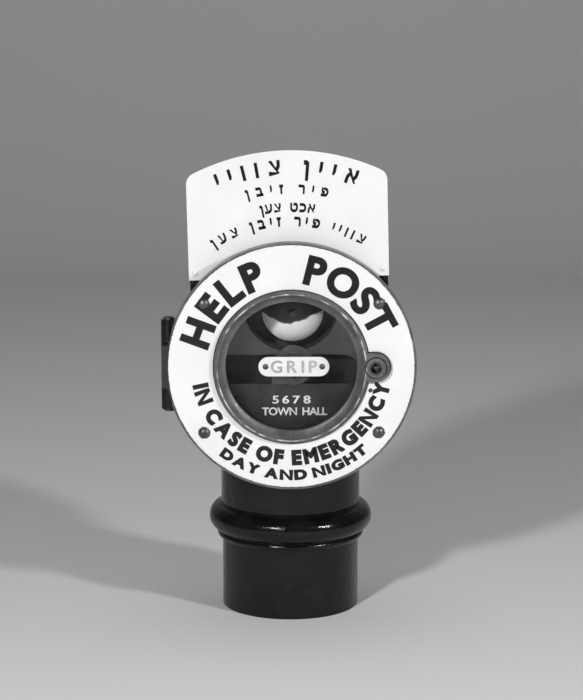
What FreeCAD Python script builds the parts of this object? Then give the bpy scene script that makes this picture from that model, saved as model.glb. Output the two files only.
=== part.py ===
"""Street fire alarm box on a cast post: a parametric FreeCAD document, one STEP file per piece.

Millimetres. The origin is the centre of the column's bottom face, +Z is up along the column, and the
door faces -Y. Every size is a cell of the sheet "Sizes", and every piece is bound to those cells.
"""

import FreeCAD, Part
import math
import os
import re

import Sketcher

Vector = FreeCAD.Vector
doc = FreeCAD.newDocument("StreetFireAlarmBox")
sheet = doc.addObject("Spreadsheet::Sheet", "Sizes")

SIZES = [
    # overall
    ("head_height", 290, "centre of the round head above the column's bottom face"),
    ("running_gap", 0.05, "radial clearance of a shaft in its hole"),
    # column
    ("column_radius", 76.5, "outside of the column"),
    ("column_wall", 16.5, "its wall"),
    ("socket_wall", 10.5, "its wall round the socket in the foot"),
    ("socket_depth", 40, "depth of that socket"),
    ("spigot_step", 6.5, "how much smaller the spigot is that enters the neck"),
    ("spigot_length", 45, "how far it enters"),
    ("neck_flare", 1.5, "neck outside the column"),
    ("neck_step", 4, "step in the neck that the spigot stops on"),
    # head casting
    ("neck_length", 88, "joint of neck and column below the drum"),
    ("stub_length", 4, "stub of the head casting below its drum, down to the neck's flat top"),
    ("register_depth", 8, "ring under the stub that centres the neck"),
    ("register_wall", 5, "wall of that ring"),
    ("moulding_start", 50, "top of the round moulding below the drum"),
    ("moulding_end", 80, "its bottom below the drum"),
    ("moulding_flare", 2.5, "root of its curve outside the neck"),
    ("moulding_curve", 15.7, "radius of its curve"),
    ("bead_curve", 3.6, "radius of the bead under it"),
    ("drum_radius", 123, "outside of the drum"),
    ("drum_wall", 7, "its wall"),
    ("front_cover", 1, "drum's rim ahead of the neck"),
    ("back_cover", 2, "drum's back behind the neck"),
    ("drum_back_wall", 8, "thickness of the back"),
    ("drum_back_round", 12, "rounding of the back's edge"),
    ("lug_radius", 10, "cast lugs that carry the face plate"),
    ("lug_inset", 8, "their middles inside the drum's wall"),
    ("gland_fall", 23, "foot of the gland below the head's stub"),
    ("gland_thickness", 10, "disc of the gland"),
    ("gland_rim_radius", 18, "raised rim round its hole"),
    ("gland_rim_length", 12, "foot of the gland to the top of that rim"),
    ("gland_hole", 10, "radius of the hole for the line cable"),
    ("grub_radius", 4, "set screws that hold the column"),
    ("grub_length", 17, "their length"),
    ("grub_fall", 65, "their height below the drum"),
    ("neck_screw_radius", 2.5, "set screws that hold the neck on the head's ring"),
    ("hinge_offset", 10.5, "hinge axis outside the drum"),
    ("hinge_clearance", 0.7, "knuckles behind the door's back"),
    # hinge
    ("knuckle_radius", 8.5, "outside of the knuckles"),
    ("knuckle_upper", 49, "top of the upper knuckle above the centre"),
    ("knuckle_lower", 50, "bottom of the lower knuckle below the centre"),
    ("knuckle_middle", 23.6, "half the height of the door's knuckle"),
    ("knuckle_gap", 0.5, "gap between two knuckles"),
    ("knuckle_bevel", 6, "bevel at the lower corner of the door's knuckle"),
    ("hinge_pin_radius", 3.5, "hinge pin"),
    ("hinge_head_radius", 5.5, "its heads"),
    ("hinge_head", 2.5, "height of its heads"),
    ("web_depth", 16, "thickness of the drum's webs to the knuckles"),
    # door
    ("door_gap", 1.2, "door's back ahead of the drum's rim"),
    ("door_overhang", 13, "door outside the drum"),
    ("door_thickness", 15.8, "back of the door to the front of its lip"),
    ("lip_width", 1.7, "lip round the enamel"),
    ("enamel_recess", 3, "depth of the enamel's seat behind the lip"),
    ("enamel_thickness", 2, "enamelled ring"),
    ("enamel_gap", 0.4, "enamel to lip"),
    ("enamel_clearance", 1, "enamel round the bezel"),
    ("bezel_width", 12.9, "bezel outside the opening"),
    ("bezel_height", 8, "bezel above the enamel's seat"),
    ("crest_outer", 2.7, "outer edge of the bezel's crest inside its foot"),
    ("crest_inner", 4.7, "inner edge of the bezel's crest inside its foot"),
    ("bezel_hollow", 16, "radius of the hollow slope inside the bezel"),
    ("opening_radius", 71.6, "clear opening of the door"),
    ("opening_edge", 13.2, "front of the opening's edge ahead of the door's back"),
    ("glass_cover", 8.4, "glass pocket outside the opening"),
    ("gasket_edge", 2, "rubber round the glass"),
    ("gasket_width", 6, "rubber from the pocket's wall inwards"),
    ("retainer_cover", 5, "retaining ring over the rubber"),
    ("retainer_flange", 12, "retaining ring outside the pocket"),
    ("retainer_screw_offset", 6, "its screws outside the pocket"),
    ("glass_thickness", 3, "its thickness"),
    ("gasket_front", 1.6, "rubber ahead of the glass"),
    ("gasket_back", 1.6, "rubber behind the glass"),
    ("retainer_thickness", 3, "its thickness"),
    ("seal_inset", 1.6, "weather seal inside the drum's edge"),
    ("seal_width", 4, "its width"),
    ("seal_seat", 1.2, "depth of its groove"),
    ("seal_gap", 0.3, "seal to door when shut"),
    ("ring_screw_inset", 17.2, "four screws of the enamelled ring inside the door's edge"),
    ("ring_screw_angle", 36.87, "their angle above and below the horizontal"),
    ("ring_screw_drop", 1.5, "how far their pattern sits below the centre"),
    ("lock_offset", 7, "lock axis outside the bezel"),
    # lock
    ("lug_tab_radius", 15.6, "tab of the bezel that carries the lock"),
    ("lug_tab_height", 8.2, "that tab above the enamel's seat"),
    ("boss_radius", 10.8, "raised ring round the key hole"),
    ("boss_height", 2, "its height"),
    ("bush_radius", 8, "lock bush"),
    ("bush_tail", 3, "bush behind the door"),
    ("spindle_radius", 5.8, "lock spindle"),
    ("key_depth", 12, "depth of the key hole"),
    ("key_pin_radius", 1.8, "centre pin of the key hole"),
    ("key_pin_length", 8.5, "its length"),
    ("cam_gap", 5, "cam behind the door's back"),
    ("cam_thickness", 4, "cam"),
    ("cam_width", 12, "its width"),
    ("cam_clearance", 1.4, "cam's tip short of the keeper's foot"),
    ("cam_nut_radius", 7, "nut on the spindle"),
    ("cam_nut_thickness", 3, "its thickness"),
    ("keeper_height", 24, "keeper, along the wall"),
    ("keeper_thickness", 2.4, "its plate"),
    ("keeper_gap", 0.8, "cam behind the keeper's plate"),
    ("keeper_reach", 10, "keeper's plate from the drum's wall inwards"),
    ("keeper_length", 21, "its foot along the wall"),
    ("keeper_leg", 3, "thickness of that foot"),
    ("face_recess", 23, "front of the face plate behind the drum's rim"),
    # face plate
    ("face_thickness", 5, "face plate"),
    ("face_gap", 2.5, "face plate inside the drum's wall"),
    ("window_radius", 52.5, "gong window"),
    ("window_rise", 62, "its centre above the head's centre"),
    ("well_wall", 3, "wall behind the window"),
    ("well_depth", 23, "depth of that wall behind the face plate"),
    ("slot_centre", -5, "centre of the finger slot"),
    ("slot_width", 142, "width of the finger slot"),
    ("slot_height", 20, "its height"),
    ("slot_drop", 13.4, "its centre below the head's centre"),
    ("slot_depth", 24, "depth of the trough behind the face plate"),
    ("trough_wall", 2.4, "wall of the trough"),
    ("number_plate_top", 26, "top edge of the number plate below the head's centre"),
    ("number_plate_radius", 96, "its round edge"),
    ("number_plate_thickness", 1.5, "its thickness"),
    # pull
    ("pull_x", 3, "pull axis to the right of the centre"),
    ("pull_drop", 5, "pull axis below the centre"),
    ("stem_behind", 38, "stem's tail behind the board"),
    ("stem_radius", 5, "stem"),
    ("bar_length", 70, "hand bar"),
    ("bar_height", 17, "its height"),
    ("bar_thickness", 5, "its thickness"),
    ("bar_gap", 4, "bar ahead of the face plate"),
    ("label_length", 77.6, "enamelled label on the bar"),
    ("label_height", 21.6, "its height"),
    ("label_thickness", 1.5, "its thickness"),
    ("label_screw_pitch", 62, "pitch of its two screws"),
    ("guide_radius", 22, "flange of the stem guide"),
    ("guide_flange", 2, "its thickness"),
    ("guide_ring_radius", 17, "raised ring on it"),
    ("guide_ring", 1, "height of that ring"),
    ("guide_barrel", 9, "barrel of the stem guide"),
    ("bush_wall", 2, "brass bush in the barrel"),
    ("guide_nut_radius", 13, "nut behind the trough"),
    ("guide_nut_thickness", 5, "its thickness"),
    ("collar_radius", 9, "collar on the stem"),
    ("collar_length", 8, "its length"),
    ("spring_wire", 1.2, "wire of the return spring"),
    ("spring_radius", 7.2, "its mean radius"),
    ("spring_turns", 7, "its turns"),
    ("board_recess", 44, "front of the board behind the face plate's"),
    # mechanism board
    ("board_thickness", 8, "its thickness"),
    ("board_inset", 8, "board inside the drum's wall"),
    ("pillar_radius", 6, "pillars behind the board"),
    ("pillar_inset", 14, "pillars inside the board's edge"),
    ("pillar_angle", 15, "their angle above and below the horizontal"),
    # gong
    ("gong_x", 2, "gong's centre to the right of the centre"),
    ("gong_rise", 52, "above the head's centre"),
    ("gong_inset", 18.5, "its rim's radius less than the window's"),
    ("gong_stand", 14, "gong's rim ahead of the board"),
    ("gong_skirt", 9, "straight part behind the dome"),
    ("gong_height", 22, "rim to crown"),
    ("gong_wall", 2.4, "its wall"),
    ("gong_crown", 8, "flat of the crown"),
    ("post_radius", 4, "gong post"),
    # magnet and hammer
    ("hammer_inset", 13, "hammer's pivot inside the gong's left edge"),
    ("hammer_rise", 15, "above the head's centre"),
    ("hammer_pin", 2.5, "its pivot pin"),
    ("armature_width", 6, "armature"),
    ("armature_depth", 14, "along the pivot"),
    ("armature_reach", 57, "pivot to the armature's top"),
    ("armature_gap", 10, "armature behind the board"),
    ("ball_radius", 4.5, "hammer ball"),
    ("ball_reach", 6, "ball inside the gong, from its rim"),
    ("coil_radius", 12, "magnet coils"),
    ("coil_length", 48, "their length"),
    ("core_radius", 5, "iron cores"),
    ("core_pitch", 26, "pitch of the two cores"),
    ("pole_gap", 6.2, "poles to armature"),
    ("yoke_thickness", 6, "yoke"),
    # contact lever
    ("lever_drop", 45, "lever's pivot below the head's centre"),
    ("lever_length", 38, "pivot to nose"),
    ("lever_width", 8, "lever"),
    ("lever_thickness", 2, "its thickness"),
    ("lever_tail", 22, "pivot to the tail's end"),
    ("nose_radius", 3, "rounded nose"),
    ("nose_gap", 0.4, "nose behind the stem's tail"),
    ("lever_pin", 2, "pivot pin"),
    ("cheek_gap", 0.6, "lever to each cheek"),
    ("cheek_thickness", 2, "cheeks of the bracket"),
    ("contact_radius", 3.5, "moving contact"),
    ("contact_thickness", 1.4, "its thickness"),
    ("contact_gap", 9.3, "fixed contact behind the lever's axis"),
    # sign
    ("sign_half_width", 108.5, "half the width of the sign"),
    ("sign_rise", 111, "its round top edge outside the drum"),
    ("sign_foot_drop", 28, "its feet below the drum's top"),
    ("sign_corner", 13, "its upper corners"),
    ("sign_drum_gap", 2.5, "its hollow lower edge outside the drum"),
    ("sign_setback", 3, "front of the sign behind the drum's rim"),
    ("sign_thickness", 2.5, "its thickness"),
    ("sign_tilt", 1.4, "how far it leans to the left, in degrees"),
    ("strap_x", 102, "straps of the brackets from the sign's middle"),
    ("strap_rise", 3, "top of the straps above the drum's top"),
    ("bracket_width", 11, "strap of a bracket"),
    ("bracket_thickness", 3, "its thickness"),
    ("bracket_foot", 26, "foot of the bracket along the drum"),
    ("sign_screw_rise", 8, "sign screws above the sign's feet"),
]

for row, (alias, amount, note) in enumerate(SIZES, start=1):
    sheet.set("A%d" % row, alias)
    sheet.set("B%d" % row, str(amount))
    sheet.set("C%d" % row, note)
    sheet.setAlias("B%d" % row, alias)
doc.recompute()

# What seats on, fits in or lines up with another piece is worked out from the sheet's sizes.
DERIVED = {
    "column_bore": "column_radius - column_wall",
    "socket_radius": "column_radius - socket_wall",
    "spigot_radius": "column_radius - spigot_step",
    "neck_radius": "column_radius + neck_flare",
    "neck_bore": "spigot_radius - neck_step",
    "joint_drop": "drum_radius + neck_length",
    "moulding_top": "drum_radius + moulding_start",
    "moulding_bottom": "drum_radius + moulding_end",
    "grub_drop": "drum_radius + grub_fall",
    "neck_drop": "drum_radius + stub_length",
    "gland_foot": "head_height - neck_drop - gland_fall",
    "register_radius": "neck_bore + register_wall",
    "moulding_root": "neck_radius + moulding_flare",
    "drum_inside": "drum_radius - drum_wall",
    "drum_front": "neck_radius + front_cover",
    "drum_back": "neck_radius + back_cover",
    "lug_circle": "drum_inside - lug_inset",
    "hinge_x": "drum_radius + hinge_offset",
    "hinge_y": "drum_front + door_gap - knuckle_radius - hinge_clearance",
    "door_radius": "drum_radius + door_overhang",
    "bezel_foot": "opening_radius + bezel_width",
    "bezel_crest_outer": "bezel_foot - crest_outer",
    "bezel_crest_inner": "bezel_foot - crest_inner",
    "enamel_inner": "bezel_foot + enamel_clearance",
    "pocket_radius": "opening_radius + glass_cover",
    "pocket_depth": "gasket_front + glass_thickness + gasket_back",
    "glass_radius": "pocket_radius - gasket_edge",
    "gasket_inner": "pocket_radius - gasket_width",
    "retainer_inner": "pocket_radius - retainer_cover",
    "retainer_outer": "pocket_radius + retainer_flange",
    "retainer_screw_circle": "pocket_radius + retainer_screw_offset",
    "seal_outer": "drum_radius - seal_inset",
    "seal_inner": "seal_outer - seal_width",
    "ring_screw_circle": "door_radius - ring_screw_inset",
    "lock_x": "bezel_foot + lock_offset",
    "cam_length": "drum_inside - keeper_leg - cam_clearance - lock_x",
    "keeper_inner": "drum_inside - keeper_reach",
    "face_front": "drum_front - face_recess",
    "face_radius": "drum_inside - face_gap",
    "board_front": "face_front - board_recess",
    "board_radius": "drum_inside - board_inset",
    "stem_tail": "stem_behind - board_front + board_thickness",
    "pillar_circle": "board_radius - pillar_inset",
    "gong_rim": "board_front + gong_stand",
    "gong_radius": "window_radius - gong_inset",
    "hammer_x": "gong_x - gong_radius + hammer_inset",
    "sign_front": "drum_front - sign_setback",
    "sign_bottom_radius": "drum_radius + sign_drum_gap",
    "sign_top_radius": "drum_radius + sign_rise",
    "sign_foot": "drum_radius - sign_foot_drop",
    "strap_top": "drum_radius + strap_rise",
}
NAMES = {alias for alias, amount, note in SIZES}
WORD = re.compile(r"[a-z][a-z_0-9]*")


def derived_word(match):
    word = match.group(0)
    return "(%s)" % DERIVED[word] if word in DERIVED else word


def spelled_out(text):
    """The expression with each derived name replaced by what it is worked out from."""
    if not set(WORD.findall(text)) & set(DERIVED):
        return text
    return spelled_out(WORD.sub(derived_word, text))


def sheet_word(match):
    word = match.group(0)
    return "Sizes." + word if word in NAMES else word


def bound(text):
    """The expression with every size's name pointed at the sheet."""
    return WORD.sub(sheet_word, spelled_out(str(text)))


def number(text):
    """What an expression of sizes comes to now."""
    value = sheet.evalExpression(spelled_out(str(text)))
    return float(getattr(value, "Value", value))


ALONG = {
    "+X": FreeCAD.Rotation(Vector(0, 1, 0), 90),
    "-X": FreeCAD.Rotation(Vector(0, 1, 0), -90),
    "+Y": FreeCAD.Rotation(Vector(1, 0, 0), -90),
    "-Y": FreeCAD.Rotation(Vector(1, 0, 0), 90),
    "+Z": FreeCAD.Rotation(),
    "-Z": FreeCAD.Rotation(Vector(1, 0, 0), 180),
}


def place(shape, at=(0, 0, 0), along="+Z", turn=None):
    """Put a shape at three expressions, with its own Z along an axis, after a turn about that Z."""
    rotation = ALONG[along]
    if turn is not None:
        rotation = rotation * FreeCAD.Rotation(Vector(0, 0, 1), turn)
    shape.Placement = FreeCAD.Placement(Vector(0, 0, 0), rotation)
    for axis, text in zip("xyz", at):
        if text != 0:
            shape.setExpression("Placement.Base." + axis, bound(text))
    return shape


def cylinder(name, radius, height, at=(0, 0, 0), along="+Z"):
    shape = doc.addObject("Part::Cylinder", name)
    shape.setExpression("Radius", bound(radius))
    shape.setExpression("Height", bound(height))
    return place(shape, at, along)


def box(name, length, width, height, at=(0, 0, 0), turn=None):
    """A box from its lowest corner."""
    shape = doc.addObject("Part::Box", name)
    shape.setExpression("Length", bound(length))
    shape.setExpression("Width", bound(width))
    shape.setExpression("Height", bound(height))
    return place(shape, at, "+Z", turn)


def fuse(name, *shapes):
    joined = doc.addObject("Part::MultiFuse", name)
    joined.Shapes = list(shapes)
    joined.Refine = True
    return joined


def cut(name, base, *tools):
    """The base without the tools."""
    left = doc.addObject("Part::Cut", name)
    left.Base = base
    left.Tool = tools[0] if len(tools) == 1 else fuse(name + "_tools", *tools)
    return left


def common(name, *shapes):
    shared = doc.addObject("Part::MultiCommon", name)
    shared.Shapes = list(shapes)
    return shared


def group(name, shapes):
    """Separate solids that share one node."""
    together = doc.addObject("Part::Compound", name)
    together.Links = list(shapes)
    return together


def copies(name, master, places):
    """The master linked at each place, as one group. A place is (at, along, turn)."""
    links = []
    for index, (at, along, turn) in enumerate(places):
        link = doc.addObject("App::Link", "%s_copy_%d" % (name, index))
        link.LinkedObject = master
        link.LinkTransform = False
        links.append(place(link, at, along, turn))
    return group(name, links)


def body(name, at=(0, 0, 0), along="+Z"):
    part = doc.addObject("PartDesign::Body", name)
    return place(part, at, along)


def arc_constraint(index, point, here, there):
    """What fixes an arc between two pinned points: its radius, or its centre on a half circle."""
    text = str(point[2]).lstrip("-")
    radius = number(text)
    run = there - here
    if radius - run.Length / 2 > 0.001:
        return Sketcher.Constraint("Radius", index, radius), text
    if abs(run.x) < abs(run.y):
        return Sketcher.Constraint("DistanceX", -1, 1, index, 3, here.x), point[0]
    return Sketcher.Constraint("DistanceY", -1, 1, index, 3, here.y), point[1]


def outline(part, role, points):
    """A closed sketch on one of the body's own planes.

    A point is (across, up), or (across, up, radius) where an arc of that radius leads to the next
    point: it turns left if the radius is positive, and right if it starts with a minus sign.
    """
    sketch = part.newObject("Sketcher::SketchObject", part.Name + "_outline")
    plane = [feature for feature in part.Origin.OriginFeatures if feature.Role == role][0]
    sketch.AttachmentSupport = [(plane, "")]
    sketch.MapMode = "FlatFace"
    corners = [Vector(number(point[0]), number(point[1]), 0) for point in points]
    pieces, ends = [], []
    for index, point in enumerate(points):
        here, there = corners[index], corners[(index + 1) % len(points)]
        if len(point) == 2:
            pieces.append(Part.LineSegment(here, there))
            ends.append((1, 2))
            continue
        left = not str(point[2]).startswith("-")
        radius = number(str(point[2]).lstrip("-"))
        run = there - here
        reach = math.sqrt(max(radius**2 - (run.Length / 2) ** 2, 0))
        side = Vector(-run.y, run.x, 0).normalize() * (reach if left else -reach)
        centre = here + run * 0.5 + side
        first, last = (here, there) if left else (there, here)
        start = math.atan2(first.y - centre.y, first.x - centre.x)
        stop = math.atan2(last.y - centre.y, last.x - centre.x)
        circle = Part.Circle(centre, Vector(0, 0, 1), radius)
        pieces.append(Part.ArcOfCircle(circle, start, stop if stop > start else stop + 2 * math.pi))
        ends.append((1, 2) if left else (2, 1))
    sketch.addGeometry(pieces, False)
    for index, point in enumerate(points):
        following = (index + 1) % len(points)
        joint = ("Coincident", index, ends[index][1], following, ends[following][0])
        sketch.addConstraint(Sketcher.Constraint(*joint))
        for kind, text, value in (
            ("DistanceX", point[0], corners[index].x),
            ("DistanceY", point[1], corners[index].y),
        ):
            pin = Sketcher.Constraint(kind, -1, 1, index, ends[index][0], value)
            sketch.setExpression("Constraints[%d]" % sketch.addConstraint(pin), bound(text))
        if len(point) == 3:
            size, text = arc_constraint(index, point, corners[index], corners[following])
            sketch.setExpression("Constraints[%d]" % sketch.addConstraint(size), bound(text))
    return sketch


def turned(name, points, at=(0, 0, 0), role="XY_Plane"):
    """A body turned about its own upright sketch axis: world Y from XY_Plane, Z from XZ_Plane."""
    part = body(name, at)
    sketch = outline(part, role, points)
    revolution = part.newObject("PartDesign::Revolution", name + "_turned")
    revolution.Profile = sketch
    revolution.ReferenceAxis = (sketch, ["V_Axis"])
    revolution.Angle = 360
    return part


def plate(name, points, thickness, at=(0, 0, 0)):
    """A body padded towards -Y from an outline seen from the front."""
    part = body(name, at)
    sketch = outline(part, "XZ_Plane", points)
    pad = part.newObject("PartDesign::Pad", name + "_pad")
    pad.Profile = sketch
    pad.setExpression("Length", bound(thickness))
    return part


def washer(name, outer, inner, thickness, at=(0, 0, 0)):
    """A turned ring about Y: it reaches forward from its place by its thickness."""
    points = [(inner, 0), (outer, 0), (outer, "-(%s)" % thickness), (inner, "-(%s)" % thickness)]
    return turned(name, points, at)


def round_screw(name, head_radius, head_height, shank_radius, shank_length, slot=1.1):
    """A slotted round-head screw about Z, its seat at Z 0 and its head above."""
    dome = "(%s^2 + %s^2) / (2 * %s)" % (head_radius, head_height, head_height)
    head = doc.addObject("Part::Sphere", name + "_head")
    head.setExpression("Radius", bound(dome))
    head.setExpression("Angle1", bound("asin(1 - %s / (%s))" % (head_height, dome)))
    place(head, (0, 0, "%s - (%s)" % (head_height, dome)))
    shank = cylinder(name + "_shank", shank_radius, shank_length, (0, 0, "-(%s)" % shank_length))
    whole = fuse(name + "_blank", head, shank)
    reach = "2 * (%s)" % head_radius
    corner = ("-(%s)" % head_radius, -slot / 2, "%s * 0.55" % head_height)
    return cut(name, whole, box(name + "_slot", reach, slot, head_height, corner))


def stadium(length, height):
    """Outline of a bar with round ends, centred."""
    straight = "(%s - %s) / 2" % (length, height)
    half = "%s / 2" % height
    return [
        ("-(%s)" % straight, "-(%s)" % half),
        (straight, "-(%s)" % half, half),
        (straight, half),
        ("-(%s)" % straight, half, half),
    ]


def polar(radius, degrees, drop="0"):
    """Place on a circle round the head's centre, seen from the front."""
    across = "%s * cos(%s)" % (radius, degrees)
    up = "head_height - %s + %s * sin(%s)" % (drop, radius, degrees)
    return across, up


DOOR_BACK = "-(drum_front + door_gap)"
ENAMEL_SEAT = "door_thickness - enamel_recess"
FACE_BACK = "-(face_front - face_thickness)"
BOARD_BACK = "-(board_front - board_thickness)"
CENTRE = "head_height"
NECK_SCREW_DROP = "neck_drop + register_depth / 2"
PULL_AT = ("pull_x", "head_height - pull_drop")
QUARTERS = ("45", "135", "225", "315")


def make_column():
    """The tube, turned down at its top to a spigot and bored at its foot to a socket."""
    shoulder = "head_height - joint_drop"
    return turned(
        "column",
        [
            ("socket_radius", 0),
            ("column_radius", 0),
            ("column_radius", shoulder),
            ("spigot_radius", shoulder),
            ("spigot_radius", shoulder + " + spigot_length"),
            ("column_bore", shoulder + " + spigot_length"),
            ("column_bore", "socket_depth"),
            ("socket_radius", "socket_depth"),
        ],
        role="XZ_Plane",
    )


def grub_places():
    """Set screws on the back half of the neck, pointing at the column's axis."""
    return [("%s" % angle) for angle in (30, 90, 150)]


def grub(name, angle, radius, inner, outer, drop):
    """A plain screw or its hole, along a radius of the neck."""
    shape = doc.addObject("Part::Cylinder", name)
    shape.setExpression("Radius", bound(radius))
    shape.setExpression("Height", bound("%s - (%s)" % (outer, inner)))
    heading = FreeCAD.Rotation(Vector(0, 0, 1), float(angle)) * ALONG["+X"]
    shape.Placement = FreeCAD.Placement(Vector(0, 0, 0), heading)
    shape.setExpression("Placement.Base.x", bound("(%s) * cos(%s)" % (inner, angle)))
    shape.setExpression("Placement.Base.y", bound("(%s) * sin(%s)" % (inner, angle)))
    shape.setExpression("Placement.Base.z", bound("head_height - (%s)" % drop))
    return shape


def knuckle(name, low, high):
    """A hinge knuckle from one height to another, measured from the head's centre."""
    at = ("-hinge_x", "-hinge_y", "head_height + (%s)" % low)
    return cylinder(name, "knuckle_radius", "(%s) - (%s)" % (high, low), at)


def hinge_web(name, low, high):
    """The cast web between the drum and a knuckle."""
    at = ("-hinge_x", "-drum_front", "head_height + (%s)" % low)
    return box(name, "hinge_x - drum_radius + 15", "web_depth", "(%s) - (%s)" % (high, low), at)


def make_neck():
    """The neck with its moulding: flat on top under the head's stub, bored for the column's spigot."""
    outside = turned(
        "neck_outside",
        [
            (0, "-joint_drop"),
            ("moulding_root - 0.6", "-joint_drop"),
            ("moulding_root", "-(joint_drop - 1)", "bead_curve"),
            ("moulding_root", "-(moulding_bottom + 0.5)"),
            ("moulding_root", "-moulding_bottom", "moulding_curve"),
            ("moulding_root", "-moulding_top"),
            ("neck_radius", "-(moulding_top - 3)"),
            ("neck_radius", "-neck_drop"),
            (0, "-neck_drop"),
        ],
        (0, 0, CENTRE),
        role="XZ_Plane",
    )
    foot = (0, 0, "head_height - joint_drop")
    bore = cylinder("neck_inside", "neck_bore", "joint_drop - neck_drop + 1", foot)
    socket = cylinder("neck_socket", "spigot_radius", "spigot_length", foot)
    seat_at = (0, 0, "head_height - neck_drop - register_depth - 1")
    seat = cylinder("register_seat", "register_radius + running_gap", "register_depth + 5", seat_at)
    holes = []
    for angle in grub_places():
        column_hole = "spigot_radius - 5", "moulding_root + 30", "grub_drop"
        holes.append(grub("grub_hole_" + angle, angle, "grub_radius", *column_hole))
        neck_hole = "neck_bore - 5", "neck_radius + 30", NECK_SCREW_DROP
        holes.append(grub("neck_screw_hole_" + angle, angle, "neck_screw_radius", *neck_hole))
    return cut("neck_casting", outside, bore, socket, seat, *holes)


def make_head_casting():
    """The drum on a short stub, with the hinge's knuckles and the lugs inside."""
    drum_length = "drum_front + drum_back"
    drum = turned(
        "drum",
        [
            (0, "-drum_front"),
            ("drum_radius", "-drum_front"),
            ("drum_radius", "drum_back - drum_back_round", "drum_back_round"),
            ("drum_radius - drum_back_round", "drum_back"),
            (0, "drum_back"),
        ],
        (0, 0, CENTRE),
    )
    stub = cylinder("stub", "neck_radius", "neck_drop - 60", (0, 0, "head_height - neck_drop"))
    register_at = (0, 0, "head_height - neck_drop - register_depth")
    register = cylinder("register", "register_radius", "register_depth + 5", register_at)
    upper = ("knuckle_middle + knuckle_gap", "knuckle_upper")
    lower = ("-knuckle_lower", "-(knuckle_middle + knuckle_gap)")
    hinge = [
        knuckle("upper_knuckle", *upper),
        knuckle("lower_knuckle", *lower),
        hinge_web("upper_web", *upper),
        hinge_web("lower_web", *lower),
    ]
    outside = fuse("head_outside", drum, stub, register, *hinge)
    cavity = cylinder(
        "cavity",
        "drum_inside",
        "%s - drum_back_wall" % drum_length,
        (0, "-drum_front", CENTRE),
        "+Y",
    )
    passage_at = (0, 0, "head_height - neck_drop - register_depth - 1")
    passage = cylinder("passage", "neck_bore", "neck_drop + register_depth - 49", passage_at)
    groove_at = (0, "seal_seat - drum_front", CENTRE)
    groove = washer("seal_groove", "seal_outer", "seal_inner", "seal_seat + 1", groove_at)
    pin_hole = cylinder(
        "hinge_hole",
        "hinge_pin_radius + running_gap",
        "knuckle_upper + knuckle_lower + 2",
        ("-hinge_x", "-hinge_y", "head_height - knuckle_lower - 1"),
    )
    shell = cut("head_shell", outside, cavity, passage, groove, pin_hole)
    lugs = []
    for angle in QUARTERS:
        across, up = polar("lug_circle", angle)
        at = (across, FACE_BACK, up)
        lugs.append(cylinder("lug_" + angle, "lug_radius", "well_depth", at, "+Y"))
    lugs_in = common(
        "lugs_in_drum",
        fuse("lugs", *lugs),
        cylinder("lug_limit", "drum_radius - 1", drum_length, (0, "-drum_front", CENTRE), "+Y"),
    )
    holes = []
    for angle in QUARTERS:
        across, up = polar("lug_circle", angle)
        holes.append(cylinder("lug_hole_" + angle, "2.5", "14", (across, FACE_BACK, up), "+Y"))
    return cut("head_casting", fuse("head_with_lugs", shell, lugs_in), *holes)


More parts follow.
